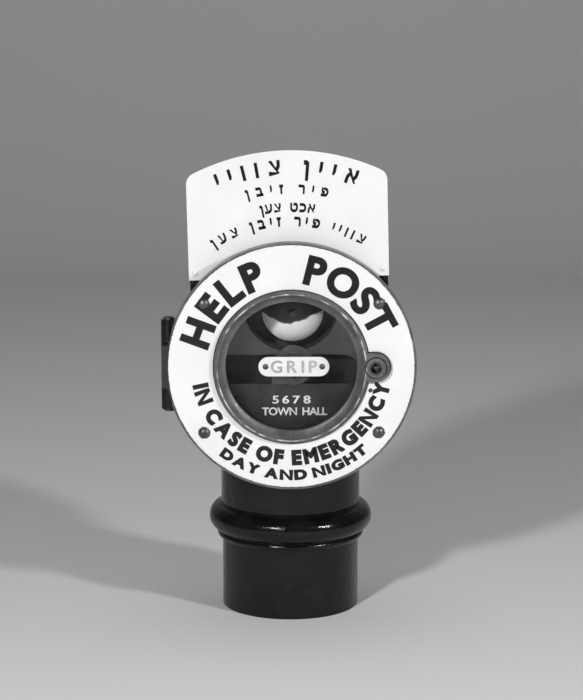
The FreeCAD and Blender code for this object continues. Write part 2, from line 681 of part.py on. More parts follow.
def make_door_casting():
    """The door: a flat ring with a lip, a bezel round the opening, the lock's tab and a knuckle."""
    crest = ENAMEL_SEAT + " + bezel_height"
    ring = turned(
        "door_ring",
        [
            ("pocket_radius", 0),
            ("door_radius", 0),
            ("door_radius", "-(door_thickness)"),
            ("door_radius - lip_width", "-(door_thickness)"),
            ("door_radius - lip_width", "-(%s)" % ENAMEL_SEAT),
            ("bezel_foot", "-(%s)" % ENAMEL_SEAT),
            ("bezel_foot - 0.4", "-(%s - 3)" % crest, "-3.5"),
            ("bezel_crest_outer", "-(%s)" % crest),
            ("bezel_crest_inner", "-(%s)" % crest, "bezel_hollow"),
            ("opening_radius", "-(opening_edge)"),
            ("opening_radius", "-(pocket_depth)"),
            ("pocket_radius", "-(pocket_depth)"),
        ],
        (0, DOOR_BACK, CENTRE),
    )
    seat_y = "-(drum_front + door_gap + %s) + 2" % ENAMEL_SEAT
    tab_at = ("lock_x", seat_y, CENTRE)
    tab_round = cylinder("tab_round", "lug_tab_radius", "lug_tab_height + 2", tab_at, "-Y")
    tab_front = "-(drum_front + door_gap + %s + lug_tab_height)" % ENAMEL_SEAT
    tab_neck = box(
        "tab_neck",
        "lock_x - bezel_crest_inner",
        "lug_tab_height + 2",
        "2 * lug_tab_radius",
        ("bezel_crest_inner", tab_front, "head_height - lug_tab_radius"),
    )
    inside = cylinder("tab_limit", "bezel_crest_inner", "60", (0, "-(drum_front + 50)", CENTRE), "+Y")
    tab = cut("tab", fuse("tab_blank", tab_round, tab_neck), inside)
    boss_at = ("lock_x", tab_front, CENTRE)
    boss = cylinder("boss", "boss_radius", "boss_height", boss_at, "-Y")
    leaf_depth = "door_thickness - 2"
    leaf = box(
        "leaf",
        "2 * knuckle_radius - 2",
        leaf_depth,
        "2 * knuckle_middle",
        (
            "-(hinge_x + knuckle_radius - 1)",
            "-(drum_front + door_gap + door_thickness - 3)",
            "head_height - knuckle_middle",
        ),
    )
    barrel = knuckle("middle_knuckle", "-knuckle_middle", "knuckle_middle")
    bevel = box("bevel", "3 * knuckle_bevel", "60", "knuckle_bevel * 1.5")
    bevel.Placement = FreeCAD.Placement(Vector(0, 0, 0), FreeCAD.Rotation(Vector(0, 1, 0), 45))
    bevel.setExpression("Placement.Base.x", bound("-(hinge_x + knuckle_radius + 2 * knuckle_bevel)"))
    bevel.setExpression("Placement.Base.y", bound("-(drum_front + 40)"))
    bevel.setExpression("Placement.Base.z", bound("head_height - knuckle_middle + knuckle_bevel * 0.35"))
    blank = fuse("door_blank", ring, tab, boss, leaf, barrel)
    tools = [
        cylinder(
            "bush_hole",
            "bush_radius",
            "60",
            ("lock_x", "-(drum_front + 40)", CENTRE),
            "+Y",
        ),
        cylinder(
            "door_pin_hole",
            "hinge_pin_radius + running_gap",
            "2 * knuckle_middle + 2",
            ("-hinge_x", "-hinge_y", "head_height - knuckle_middle - 1"),
        ),
        bevel,
    ]
    for index, (across, up) in enumerate(ring_screw_places()):
        at = (across, "-(drum_front + door_gap + 4)", up)
        tools.append(cylinder("ring_screw_hole_%d" % index, "3.1", "20", at, "-Y"))
    for index, (across, up) in enumerate(retainer_screw_places()):
        at = (across, "-(drum_front + door_gap + 5)", up)
        tools.append(cylinder("retainer_hole_%d" % index, "1.6", "10", at, "+Y"))
    return cut("door_casting", blank, *tools)


def ring_screw_places():
    """The four corners where the enamelled ring is screwed down."""
    places = []
    for side in ("ring_screw_angle", "180 - ring_screw_angle"):
        for sign in ("", "-"):
            places.append(polar("ring_screw_circle", "%s(%s)" % (sign, side), "ring_screw_drop"))
    return places


def retainer_screw_places():
    return [polar("retainer_screw_circle", angle) for angle in ("30", "90", "150", "210", "270", "330")]


def make_enamel_ring():
    """A flat enamelled ring, cut away round the lock's tab."""
    seat = "-(drum_front + door_gap + %s)" % ENAMEL_SEAT
    ring = washer(
        "enamel_blank",
        "door_radius - lip_width - enamel_gap",
        "enamel_inner",
        "enamel_thickness",
        (0, seat, CENTRE),
    )
    tools = [
        cylinder("tab_clearance", "lug_tab_radius + 1.2", "20", ("lock_x", seat + " + 5", CENTRE), "-Y"),
        box(
            "tab_neck_clearance",
            "lock_x - 70",
            "20",
            "2 * (lug_tab_radius + 1.2)",
            ("70", seat + " - 10", "head_height - lug_tab_radius - 1.2"),
        ),
    ]
    for index, (across, up) in enumerate(ring_screw_places()):
        tools.append(cylinder("enamel_hole_%d" % index, "3.1", "20", (across, seat + " + 5", up), "-Y"))
    return cut("enamel_ring", ring, *tools)


def make_ring_screws():
    """Four slotted round-head screws, each stopped at its own angle."""
    master = round_screw("ring_screw", "5.8", "2.6", "3.1", "10", 1.2)
    seat = "-(drum_front + door_gap + %s + enamel_thickness)" % ENAMEL_SEAT
    turns = (20, -35, 60, 5)
    places = [
        ((across, seat, up), "-Y", turn) for (across, up), turn in zip(ring_screw_places(), turns)
    ]
    return copies("ring_screws", master, places)


def make_glass_and_gasket():
    """The pane in a rubber channel that fills the door's pocket."""
    glass = cylinder(
        "glass_pane",
        "glass_radius",
        "glass_thickness",
        (0, "-(drum_front + door_gap + pocket_depth - gasket_front)", CENTRE),
        "+Y",
    )
    channel = washer(
        "gasket_blank", "pocket_radius", "gasket_inner", "pocket_depth", (0, DOOR_BACK, CENTRE)
    )
    return glass, cut("glass_gasket", channel, glass)


def make_retainer():
    ring = washer(
        "retainer_blank",
        "retainer_outer",
        "retainer_inner",
        "retainer_thickness",
        (0, "-(drum_front + door_gap - retainer_thickness)", CENTRE),
    )
    back = "-(drum_front + door_gap + 10)"
    tools = [cylinder("bush_clearance", "bush_radius + 1", "30", ("lock_x", back, CENTRE), "+Y")]
    for index, (across, up) in enumerate(retainer_screw_places()):
        tools.append(cylinder("retainer_clear_%d" % index, "1.6", "30", (across, back, up), "+Y"))
    return cut("glass_retainer", ring, *tools)


def make_lock():
    """Bush in the door; spindle, cam and nut that turn in it."""
    front = "(drum_front + door_gap + %s + lug_tab_height + boss_height)" % ENAMEL_SEAT
    back = "(drum_front + door_gap - bush_tail)"
    bush = cut(
        "lock_bush",
        cylinder("bush_blank", "bush_radius", front + " - " + back, ("lock_x", "-" + front, CENTRE), "+Y"),
        cylinder(
            "bush_bore",
            "spindle_radius + running_gap",
            "60",
            ("lock_x", "-" + front + " - 5", CENTRE),
            "+Y",
        ),
    )
    cam_front = "(drum_front + door_gap - cam_gap)"
    tail = "(drum_front + door_gap - cam_gap - cam_thickness - cam_nut_thickness - 1)"
    shaft_length = "%s - key_depth - %s" % (front, tail)
    spindle = fuse(
        "lock_spindle",
        cylinder("spindle_shaft", "spindle_radius", shaft_length, ("lock_x", "-%s" % tail, CENTRE), "-Y"),
        cylinder(
            "key_pin",
            "key_pin_radius",
            "key_pin_length",
            ("lock_x", "-(%s - key_depth)" % front, CENTRE),
            "-Y",
        ),
    )
    half = "cam_width / 2"
    reach = "cam_length - cam_width / 2"
    cam_blank = plate(
        "cam_blank",
        [
            (half, 0),
            (half, reach, half),
            ("-" + half, reach),
            ("-" + half, 0, half),
        ],
        "cam_thickness",
        ("lock_x", "-%s + cam_thickness" % cam_front, CENTRE),
    )
    hole_at = ("lock_x", "-(drum_front + 10)", CENTRE)
    cam = cut("lock_cam", cam_blank, cylinder("cam_hole", "spindle_radius", "40", hole_at, "+Y"))
    nut_at = ("lock_x", "-%s + cam_thickness + cam_nut_thickness" % cam_front, CENTRE)
    nut = hexagon_nut("cam_nut", "cam_nut_radius", "spindle_radius", "cam_nut_thickness", nut_at)
    return bush, spindle, cam, nut


def hexagon_nut(name, radius, bore, thickness, at):
    """A hexagon nut about Y, reaching forward from its place."""
    blank = doc.addObject("Part::Prism", name + "_blank")
    blank.Polygon = 6
    blank.setExpression("Circumradius", bound(radius + " * 1.1547"))
    blank.setExpression("Height", bound(thickness))
    place(blank, at, "-Y")
    return cut(name, blank, cylinder(name + "_bore", bore, thickness, at, "-Y"))


def make_keeper():
    """The bracket on the drum's wall that the cam turns behind, with its two screws."""
    front = "(drum_front + door_gap - cam_gap + keeper_gap + keeper_thickness)"
    low = "head_height - keeper_height / 2"
    blank = box(
        "keeper_blank",
        "drum_radius - keeper_inner",
        "keeper_length",
        "keeper_height",
        ("keeper_inner", "-" + front, low),
    )
    pocket = box(
        "keeper_pocket",
        "drum_inside - keeper_leg - keeper_inner + 5",
        "keeper_length",
        "keeper_height + 2",
        ("keeper_inner - 5", "-%s + keeper_thickness" % front, low + " - 1"),
    )
    limit = cylinder(
        "keeper_limit", "drum_inside", "60", (0, "-(drum_front + 5)", CENTRE), "+Y"
    )
    screw_y = "-%s + keeper_length - 8" % front
    holes, places = [], []
    for index, rise in enumerate(("-6", "6")):
        up = "head_height + " + rise
        hole_at = ("keeper_inner - 10", screw_y, up)
        holes.append(cylinder("keeper_hole_%d" % index, "2", "60", hole_at, "+X"))
        places.append((("drum_inside - keeper_leg", screw_y, up), "-X", 15))
    keeper = cut("strike_plate", common("keeper_round", cut("keeper_open", blank, pocket), limit), *holes)
    master = round_screw("strike_screw", "3.4", "1.8", "2", "6", 0.8)
    return keeper, copies("strike_screws", master, places), holes


def slot_tool(name, grow, depth, back):
    """A bar with round ends as deep as the trough, to cut or to be its wall."""
    length = "slot_width + 2 * (%s)" % grow
    height = "slot_height + 2 * (%s)" % grow
    at = ("slot_centre", back, "head_height - slot_drop")
    return plate(name, stadium(length, height), depth, at)


def make_face_plate():
    """The plate behind the glass, with the gong's well and the trough for the fingers cast on."""
    face = cylinder("face_disc", "face_radius", "face_thickness", (0, "-face_front", CENTRE), "+Y")
    window_up = "head_height + window_rise"
    well = cylinder(
        "well_wall_tube",
        "window_radius + well_wall",
        "well_depth",
        (0, FACE_BACK, window_up),
        "+Y",
    )
    well_cut = cylinder("well_bore", "window_radius", "80", (0, "-face_front - 5", window_up), "+Y")
    trough_back = "slot_depth - face_front + face_thickness"
    trough = slot_tool("trough", "trough_wall", "slot_depth", trough_back)
    hollow = slot_tool("trough_hollow", "0", "80", trough_back + " - trough_wall")
    limit = cylinder("face_limit", "face_radius", "80", (0, "-face_front", CENTRE), "+Y")
    joined = common("face_joined", fuse("face_blank", face, well, trough), limit)
    tools = [well_cut, hollow]
    guide_at = (PULL_AT[0], "-face_front - 5", PULL_AT[1])
    tools.append(cylinder("guide_hole", "guide_barrel", "80", guide_at, "+Y"))
    for angle in QUARTERS:
        across, up = polar("lug_circle", angle)
        tools.append(cylinder("face_hole_" + angle, "2.5", "20", (across, "-face_front - 5", up), "+Y"))
    for index, (across, up) in enumerate(number_plate_screw_places()):
        tools.append(cylinder("number_hole_%d" % index, "1.6", "20", (across, "-face_front - 5", up), "+Y"))
    return cut("face_plate", joined, *tools)


def number_plate_screw_places():
    return [polar("(number_plate_radius - 8)", angle) for angle in ("205", "335")]


def make_number_plate():
    """The black plate on the lower half, for a call point's number."""
    disc = cylinder(
        "number_disc",
        "number_plate_radius",
        "number_plate_thickness",
        (0, "-face_front", CENTRE),
        "-Y",
    )
    keep = box(
        "number_keep",
        "2 * number_plate_radius",
        "20",
        "number_plate_radius",
        (
            "-number_plate_radius",
            "-face_front - 10",
            "head_height - number_plate_top - number_plate_radius",
        ),
    )
    tools = []
    for index, (across, up) in enumerate(number_plate_screw_places()):
        at = (across, "-face_front - 5", up)
        tools.append(cylinder("number_plate_hole_%d" % index, "1.6", "20", at, "+Y"))
    relief_at = (PULL_AT[0], "-face_front - 10", PULL_AT[1])
    tools.append(cylinder("guide_relief", "guide_radius + 0.5", "20", relief_at, "+Y"))
    return cut("number_plate", common("number_blank", disc, keep), *tools)


def make_guide():
    """Flanged guide of the pull's stem, its brass bush and its nut behind the trough."""
    back = "slot_depth - face_front + face_thickness"
    points = [
        ("stem_radius + bush_wall", "%s + guide_nut_thickness" % back),
        ("guide_barrel", "%s + guide_nut_thickness" % back),
        ("guide_barrel", "-face_front"),
        ("guide_radius", "-face_front"),
        ("guide_radius", "-(face_front + guide_flange)"),
        ("guide_ring_radius", "-(face_front + guide_flange)"),
        ("guide_ring_radius - 1", "-(face_front + guide_flange + guide_ring)"),
        ("guide_ring_radius - 3", "-(face_front + guide_flange + guide_ring)"),
        ("guide_ring_radius - 4", "-(face_front + guide_flange)"),
        ("stem_radius + bush_wall", "-(face_front + guide_flange)"),
    ]
    turned_guide = turned("guide_turned", points, (PULL_AT[0], 0, PULL_AT[1]))
    foot = box(
        "guide_foot",
        "22",
        "3",
        "12",
        ("pull_x - 24", "-face_front - 3", "head_height - number_plate_top"),
    )
    bore_at = (PULL_AT[0], "-face_front - 20", PULL_AT[1])
    bore = cylinder("guide_bore", "stem_radius + bush_wall", "100", bore_at, "+Y")
    guide = cut("stem_guide", fuse("guide_blank", turned_guide, foot), bore)
    bush = washer(
        "stem_bush",
        "stem_radius + bush_wall",
        "stem_radius + running_gap",
        "slot_depth + face_thickness + guide_flange + guide_nut_thickness",
        (PULL_AT[0], "%s + guide_nut_thickness" % back, PULL_AT[1]),
    )
    nut_at = (PULL_AT[0], "%s + guide_nut_thickness" % back, PULL_AT[1])
    nut = hexagon_nut("guide_nut", "guide_nut_radius", "guide_barrel", "guide_nut_thickness", nut_at)
    return guide, bush, nut


def make_pull():
    """Stem, hand bar, enamelled label with two screws, and the collar with its cross pin."""
    bar_back = "-(face_front + bar_gap)"
    bar = plate(
        "pull_bar",
        stadium("bar_length", "bar_height"),
        "bar_thickness",
        (PULL_AT[0], bar_back, PULL_AT[1]),
    )
    stem = cylinder(
        "pull_stem",
        "stem_radius",
        "stem_tail + face_front + bar_gap",
        (PULL_AT[0], bar_back, PULL_AT[1]),
        "+Y",
    )
    label_back = "-(face_front + bar_gap + bar_thickness)"
    label = plate(
        "label_blank",
        stadium("label_length", "label_height"),
        "label_thickness",
        (PULL_AT[0], label_back, PULL_AT[1]),
    )
    tools, bar_tools, places = [], [], []
    for index, side in enumerate(("-", "")):
        across = "pull_x + %slabel_screw_pitch / 2" % side
        at = (across, "-face_front - 40", PULL_AT[1])
        tools.append(cylinder("label_hole_%d" % index, "1.6", "60", at, "+Y"))
        bar_tools.append(cylinder("bar_hole_%d" % index, "1.6", "60", at, "+Y"))
        places.append(((across, "%s - label_thickness" % label_back, PULL_AT[1]), "-Y", 30 - 70 * index))
    label = cut("pull_label", label, *tools)
    bar = cut("hand_bar", bar, *bar_tools)
    master = round_screw("label_screw", "3.3", "1.3", "1.6", "5.5", 0.8)
    screws = copies("label_screws", master, places)
    collar_front = "stem_tail - collar_length"
    collar_blank = washer(
        "collar_blank",
        "collar_radius",
        "stem_radius",
        "collar_length",
        (PULL_AT[0], "stem_tail", PULL_AT[1]),
    )
    pin_at = (PULL_AT[0], collar_front + " + 4", "%s - collar_radius" % PULL_AT[1])
    pin = cylinder("collar_pin", "1.25", "2 * collar_radius", pin_at)
    collar = cut("stem_collar", collar_blank, pin)
    stem = cut("stem", stem, pin)
    return bar, stem, label, screws, collar, pin


def make_return_spring():
    """A coil between the board and the collar: a helix swept with round wire."""
    front = number(BOARD_BACK) + 0.3
    back = number("stem_tail - collar_length") - 0.3
    wire = number("spring_wire")
    radius = number("spring_radius")
    length = back - front - wire
    helix = Part.makeLongHelix(length / number("spring_turns"), length, radius)
    profile = Part.Wire([Part.makeCircle(wire / 2, Vector(radius, 0, 0), Vector(0, 1, 0))])
    coil = Part.Wire(helix.Edges).makePipeShell([profile], True, True)
    spring = doc.addObject("Part::Feature", "return_spring")
    spring.Shape = coil if coil.ShapeType == "Solid" else Part.Solid(coil.Shells[0])
    at = Vector(number(PULL_AT[0]), front + wire / 2, number(PULL_AT[1]))
    spring.Placement = FreeCAD.Placement(at, ALONG["+Y"])
    return spring


def make_board():
    """The mechanism board on four pillars, with its screws."""
    disc = cylinder("board_disc", "board_radius", "board_thickness", (0, "-board_front", CENTRE), "+Y")
    tools = [
        cylinder("stem_clearance", "collar_radius + 1", "40", (PULL_AT[0], "-20", PULL_AT[1]), "+Y"),
        box(
            "hammer_slot",
            "17",
            "40",
            "12",
            ("hammer_x - 10", "-20", "head_height + gong_rise - 6"),
        ),
        cylinder("gong_post_hole", "2.5", "40", ("gong_x", "-20", "head_height + gong_rise"), "+Y"),
    ]
    pillars, places = [], []
    angles = ("pillar_angle", "180 - pillar_angle", "180 + pillar_angle", "-pillar_angle")
    for index, angle in enumerate(angles):
        across, up = polar("pillar_circle", "(%s)" % angle)
        length = "drum_back - drum_back_wall + board_front - board_thickness"
        pillar = cylinder("pillar_%d" % index, "pillar_radius", length, (across, BOARD_BACK, up), "+Y")
        hole = cylinder("pillar_hole_%d" % index, "2.5", "20", (across, "-(board_front + 5)", up), "+Y")
        tools.append(hole)
        pillars.append(cut("pillar_bored_%d" % index, pillar, hole))
        places.append(((across, "-board_front", up), "-Y", 25 * index))
    board = cut("mechanism_board", disc, *tools)
    master = round_screw("board_screw", "4.6", "2.4", "2.5", "14", 1)
    return board, group("board_pillars", pillars), copies("board_screws", master, places)


def make_gong():
    """The gong is a cup that opens backwards, on a post, held by one screw at its crown."""
    arc = "(gong_height - gong_skirt)"
    span = "(gong_radius - gong_crown)"
    outer = "(%s^2 + %s^2) / (2 * %s)" % (span, arc, arc)
    points = [
        ("gong_radius - gong_wall", 0),
        ("gong_radius", 0),
        ("gong_radius", "-(gong_skirt)", "-(%s) * 1.02" % outer),
        ("gong_crown", "-(gong_height)"),
        ("2.6", "-(gong_height)"),
        ("2.6", "-(gong_height - gong_wall)"),
        ("gong_crown", "-(gong_height - gong_wall)", "(%s) * 1.02" % outer),
        ("gong_radius - gong_wall", "-(gong_skirt)"),
    ]
    rise = "head_height + gong_rise"
    gong = turned("gong", points, ("gong_x", "-gong_rim", rise))
    post_length = "gong_rim + gong_height - gong_wall - board_front"
    post = cylinder("gong_post", "post_radius", post_length, ("gong_x", "-board_front", rise), "-Y")
    front = "-(gong_rim + gong_height)"
    screw_hole = cylinder("post_hole", "2.5", "12", ("gong_x", front, rise), "+Y")
    master = round_screw("gong_screw_master", "5", "2.4", "2.5", "10", 1)
    screw = copies("gong_screw", master, [(("gong_x", front, rise), "-Y", 40)])
    return gong, cut("gong_stud", post, screw_hole), screw


def make_hammer():
    """Electromagnet with two coils, and the armature with its rod and ball on a pivot pin."""
    centre_up = "head_height + gong_rise"
    armature_left = "hammer_x - armature_width / 2"
    pole = "(%s - pole_gap)" % armature_left
    middle = "(-(board_front - board_thickness) + armature_gap + armature_depth / 2)"
    yoke_left = "(%s - coil_length - 1.5 - yoke_thickness)" % pole
    cores, coils = [], []
    for index, side in enumerate(("-", "+")):
        up = "%s %s core_pitch / 2" % (centre_up, side)
        start = (yoke_left + " + yoke_thickness", middle, up)
        length = "coil_length + 1.5"
        core = cylinder("core_%d" % index, "core_radius", length, start, "+X")
        cores.append(core)
        coil = cylinder("coil_%d" % index, "coil_radius", "coil_length - 1", start, "+X")
        coils.append(cut("coil_wound_%d" % index, coil, core))
    yoke = box(
        "yoke_plate",
        "yoke_thickness",
        "armature_gap + armature_depth + 4",
        "core_pitch + 2 * coil_radius",
        (yoke_left, BOARD_BACK, "%s - core_pitch / 2 - coil_radius" % centre_up),
    )
    magnet = fuse("magnet_yoke", yoke, *cores)
    arm_at = (armature_left, BOARD_BACK + " + armature_gap", "head_height + hammer_rise - 7")
    arm = box("armature", "armature_width", "armature_depth", "armature_reach + 7", arm_at)
    rod_start = ("hammer_x", BOARD_BACK + " + armature_gap + 4", centre_up)
    ball_y = "-(gong_rim + ball_reach)"
    rod_length = "gong_rim + ball_reach - board_front + board_thickness + armature_gap + 4"
    rod = cylinder("hammer_rod", "1.8", rod_length, rod_start, "-Y")
    ball_blank = doc.addObject("Part::Sphere", "ball_blank")
    ball_blank.setExpression("Radius", bound("ball_radius"))
    place(ball_blank, ("hammer_x", ball_y, centre_up))
    ball = cut("hammer_ball", ball_blank, rod)
    hole_at = ("hammer_x", "-board_front", "head_height + hammer_rise")
    hole = cylinder("hammer_hole", "hammer_pin + running_gap", "60", hole_at, "+Y")
    hammer = cut("hammer_arm", fuse("hammer_blank", arm, rod), hole)
    pin_at = ("hammer_x", BOARD_BACK, "head_height + hammer_rise")
    pin = fuse(
        "hammer_pivot",
        cylinder("hammer_pin_shaft", "hammer_pin", "armature_gap + armature_depth + 3", pin_at, "+Y"),
        cylinder("hammer_pin_collar", "hammer_pin + 3", "armature_gap - 1", pin_at, "+Y"),
    )
    return magnet, group("magnet_coils", coils), hammer, ball, pin


def make_contacts():
    """The lever that the stem's tail holds, its bracket and pin, and the fixed contact on its block."""
    axis_y = "(stem_tail + nose_gap + nose_radius)"
    pivot_up = "(head_height - lever_drop)"
    left = "(pull_x - lever_width / 2)"
    blade_low = pivot_up + " - lever_tail"
    blade = box(
        "lever_blade",
        "lever_width",
        "lever_thickness",
        "lever_tail + lever_length",
        (left, "%s - lever_thickness / 2" % axis_y, blade_low),
    )
    eye = cylinder("lever_eye", "lever_pin + 2.4", "lever_width", (left, axis_y, pivot_up), "+X")
    nose_at = (left, axis_y, pivot_up + " + lever_length")
    nose = cylinder("lever_nose", "nose_radius", "lever_width", nose_at, "+X")
    hole = cylinder("lever_hole", "lever_pin + running_gap", "60", ("pull_x - 30", axis_y, pivot_up), "+X")
    lever = cut("contact_lever", fuse("lever_blank", blade, eye, nose), hole)
    contact_up = pivot_up + " - lever_tail + contact_radius + 0.5"
    contact_at = ("pull_x", "%s + lever_thickness / 2" % axis_y, contact_up)
    moving = cylinder("moving_contact", "contact_radius", "contact_thickness", contact_at, "+Y")
    cheeks = []
    for name, at in (
        ("cheek_left", "%s - cheek_gap - cheek_thickness" % left),
        ("cheek_right", "%s + lever_width + cheek_gap" % left),
    ):
        corner = (at, BOARD_BACK, pivot_up + " - 7")
        length = "%s + board_front - board_thickness + 6" % axis_y
        cheeks.append(box(name, "cheek_thickness", length, "14", corner))
    base_width = "lever_width + 2 * (cheek_gap + cheek_thickness)"
    base = box(
        "bracket_base",
        base_width,
        "3",
        "14",
        ("%s - cheek_gap - cheek_thickness" % left, BOARD_BACK, pivot_up + " - 7"),
    )
    pin_left = "%s - cheek_gap - cheek_thickness - 1" % left
    pin = cylinder("lever_pivot", "lever_pin", base_width + " + 2", (pin_left, axis_y, pivot_up), "+X")
    bracket = cut("lever_bracket", fuse("bracket_blank", base, *cheeks), pin)
    leaf_y = "(%s + contact_gap)" % axis_y
    block_up = "(%s - lever_tail - 20)" % pivot_up
    block = box(
        "contact_block",
        "24",
        "%s + board_front - board_thickness" % leaf_y,
        "16",
        ("pull_x - 12", BOARD_BACK, block_up),
    )
    leaf = box("contact_leaf", "10", "1.2", "36", ("pull_x - 5", leaf_y, block_up + " + 2"))
    screw_at = ("pull_x", leaf_y + " + 1.2", block_up + " + 8")
    hole_at = ("pull_x", leaf_y + " - 10", block_up + " + 8")
    screw_hole = cylinder("leaf_screw_hole", "1.6", "20", hole_at, "+Y")
    master = round_screw("contact_screw_master", "3.3", "1.8", "1.6", "9", 0.8)
    screw = copies("contact_screw", master, [(screw_at, "+Y", 10)])
    return (
        lever,
        moving,
        bracket,
        pin,
        cut("terminal_insulator", block, screw_hole),
        cut("fixed_contact", leaf, screw_hole),
        screw,
    )


def make_terminals():
    """Terminal block on the board's back with four screws for the circuit's wires."""
    low = "head_height - 103"
    blank = box("terminal_blank", "64", "18", "14", ("-32", BOARD_BACK, low))
    holes, places = [], []
    for index, across in enumerate(("-24", "-8", "8", "24")):
        up = low + " + 7"
        at = (across, BOARD_BACK + " + 18", up)
        holes.append(cylinder("terminal_hole_%d" % index, "2", "10", at, "-Y"))
        places.append((at, "+Y", 35 * index))
    master = round_screw("terminal_screw", "4.4", "2.6", "2", "10", 1)
    return cut("terminal_block", blank, *holes), copies("terminal_screws", master, places)


def make_sign():
    """The sign over the head, its two brackets on the drum and their screws."""
    width = "sign_half_width"
    inner = "(sign_top_radius - sign_corner)"
    corner_x = "(sign_half_width - sign_corner)"
    corner_z = "sqrt(%s^2 - %s^2)" % (inner, corner_x)
    touch_x = "%s * sign_top_radius / %s" % (corner_x, inner)
    touch_z = "%s * sign_top_radius / %s" % (corner_z, inner)
    foot_in = "sqrt(sign_bottom_radius^2 - sign_foot^2)"
    points = [
        (foot_in, "sign_foot"),
        (width, "sign_foot"),
        (width, corner_z, "sign_corner"),
        (touch_x, touch_z, "sign_top_radius"),
        ("-" + touch_x, touch_z, "sign_corner"),
        ("-" + width, corner_z),
        ("-" + width, "sign_foot"),
        ("-" + foot_in, "sign_foot", "-sign_bottom_radius"),
    ]
    back = "-(sign_front - sign_thickness)"
    blank = plate("sign_blank", points, "sign_thickness", (0, back, CENTRE))
    blank.Placement = FreeCAD.Placement(Vector(0, 0, 0), LEANING)
    blank.setExpression("Placement.Base.y", bound(back))
    blank.setExpression("Placement.Base.z", bound(CENTRE))
    holes, sign_places, foot_places, brackets = [], [], [], []
    for name, side in (("left", "-"), ("right", "")):
        across, up = leaned(side + "strap_x", "sign_foot + sign_screw_rise")
        hole = cylinder("sign_hole_" + name, "2", "30", (across, "-sign_front - 10", up), "+Y")
        holes.append(hole)
        sign_places.append(((across, "-sign_front", up), "-Y", 30))
        bracket, foot_place = make_bracket(name, side, hole)
        brackets.append(bracket)
        foot_places.append(foot_place)
    sign = cut("sign_plate", blank, *holes)
    master = round_screw("sign_screw", "3.6", "1.7", "2", "sign_thickness + bracket_thickness", 0.8)
    screws = copies("sign_screws", master, sign_places)
    return sign, brackets, screws, foot_places


LEANING = FreeCAD.Rotation(Vector(0, -1, 0), number("sign_tilt"))


def leaned(across, up):
    """A point of the sign's own upright frame, leaned about the head's centre."""
    turned_across = "(%s) * cos(sign_tilt) - (%s) * sin(sign_tilt)" % (across, up)
    turned_up = "head_height + (%s) * sin(sign_tilt) + (%s) * cos(sign_tilt)" % (across, up)
    return turned_across, turned_up


def make_bracket(name, side, hole):
    """An upright strap behind the sign, and at its lower end a foot that lies on the drum."""
    lean = "acos(strap_x / drum_radius)"
    if side == "-":
        lean = "180 deg - " + lean
    lean = "(%s + sign_tilt * 1 deg)" % lean
    root = "sqrt(drum_radius^2 - strap_x^2)"
    strap = doc.addObject("Part::Box", "bracket_strap_" + name)
    strap.setExpression("Length", bound("bracket_width"))
    strap.setExpression("Width", bound("bracket_thickness"))
    strap.setExpression("Height", bound("strap_top - %s + bracket_width / 2" % root))
    strap.Placement = FreeCAD.Placement(Vector(0, 0, 0), LEANING)
    across, up = leaned(side + "strap_x - bracket_width / 2", root + " - bracket_width / 2")
    strap.setExpression("Placement.Base.x", bound(across))
    strap.setExpression("Placement.Base.y", bound("sign_thickness - sign_front"))
    strap.setExpression("Placement.Base.z", bound(up))
    heading = FreeCAD.Rotation(Vector(0, -1, 0), number(lean))
    foot = doc.addObject("Part::Box", "bracket_foot_" + name)
    foot.setExpression("Length", bound("bracket_thickness + 1"))
    foot.setExpression("Width", bound("bracket_foot"))
    foot.setExpression("Height", bound("bracket_width"))
    foot.Placement = FreeCAD.Placement(Vector(0, 0, 0), heading)
    reach, half = "(drum_radius - 1)", "bracket_width / 2"
    foot.setExpression("Placement.Base.x", bound("%s * cos(%s) + %s * sin(%s)" % (reach, lean, half, lean)))
    foot.setExpression("Placement.Base.y", bound("sign_thickness - sign_front"))
    foot_up = "head_height + %s * sin(%s) - %s * cos(%s)" % (reach, lean, half, lean)
    foot.setExpression("Placement.Base.z", bound(foot_up))
    screw_y = "sign_thickness - sign_front + bracket_foot - 8"
    along = heading * ALONG["+X"]
    screw_hole = doc.addObject("Part::Cylinder", "bracket_hole_" + name)
    screw_hole.setExpression("Radius", bound("2.5"))
    screw_hole.setExpression("Height", bound("drum_wall + bracket_thickness + 4"))
    place_radial(screw_hole, "drum_inside - 2", lean, screw_y, along)
    drum = cylinder("bracket_drum_" + name, "drum_radius", "200", (0, "-drum_front", CENTRE), "+Y")
    blank = fuse("bracket_blank_" + name, foot, strap)
    bracket = cut("sign_bracket_" + name, blank, hole, screw_hole, drum)
    return bracket, (lean, screw_y, along, screw_hole)


def place_radial(shape, radius, lean, depth, rotation):
    """Put a shape on a radius of the drum, pointing as its rotation says."""
    shape.Placement = FreeCAD.Placement(Vector(0, 0, 0), rotation)
    shape.setExpression("Placement.Base.x", bound("(%s) * cos(%s)" % (radius, lean)))
    shape.setExpression("Placement.Base.y", bound(depth))
    shape.setExpression("Placement.Base.z", bound("head_height + (%s) * sin(%s)" % (radius, lean)))
    return shape


def make_bracket_screws(foot_places):
    """One screw through each bracket's foot into the drum."""
    master = round_screw("bracket_screw", "4.6", "2.2", "2.5", "drum_wall + bracket_thickness", 1)
    links = []
    for index, (lean, screw_y, along, hole) in enumerate(foot_places):
        link = doc.addObject("App::Link", "bracket_screw_copy_%d" % index)
        link.LinkedObject = master
        link.LinkTransform = False
        links.append(place_radial(link, "drum_radius + bracket_thickness", lean, screw_y, along))
    return group("bracket_screws", links)


def make_seal():
    """A rubber ring in the groove of the drum's rim, just short of the door."""
    length = "seal_seat + door_gap - seal_gap"
    at = (0, "seal_seat - drum_front", CENTRE)
    return washer("door_seal", "seal_outer", "seal_inner", length, at)


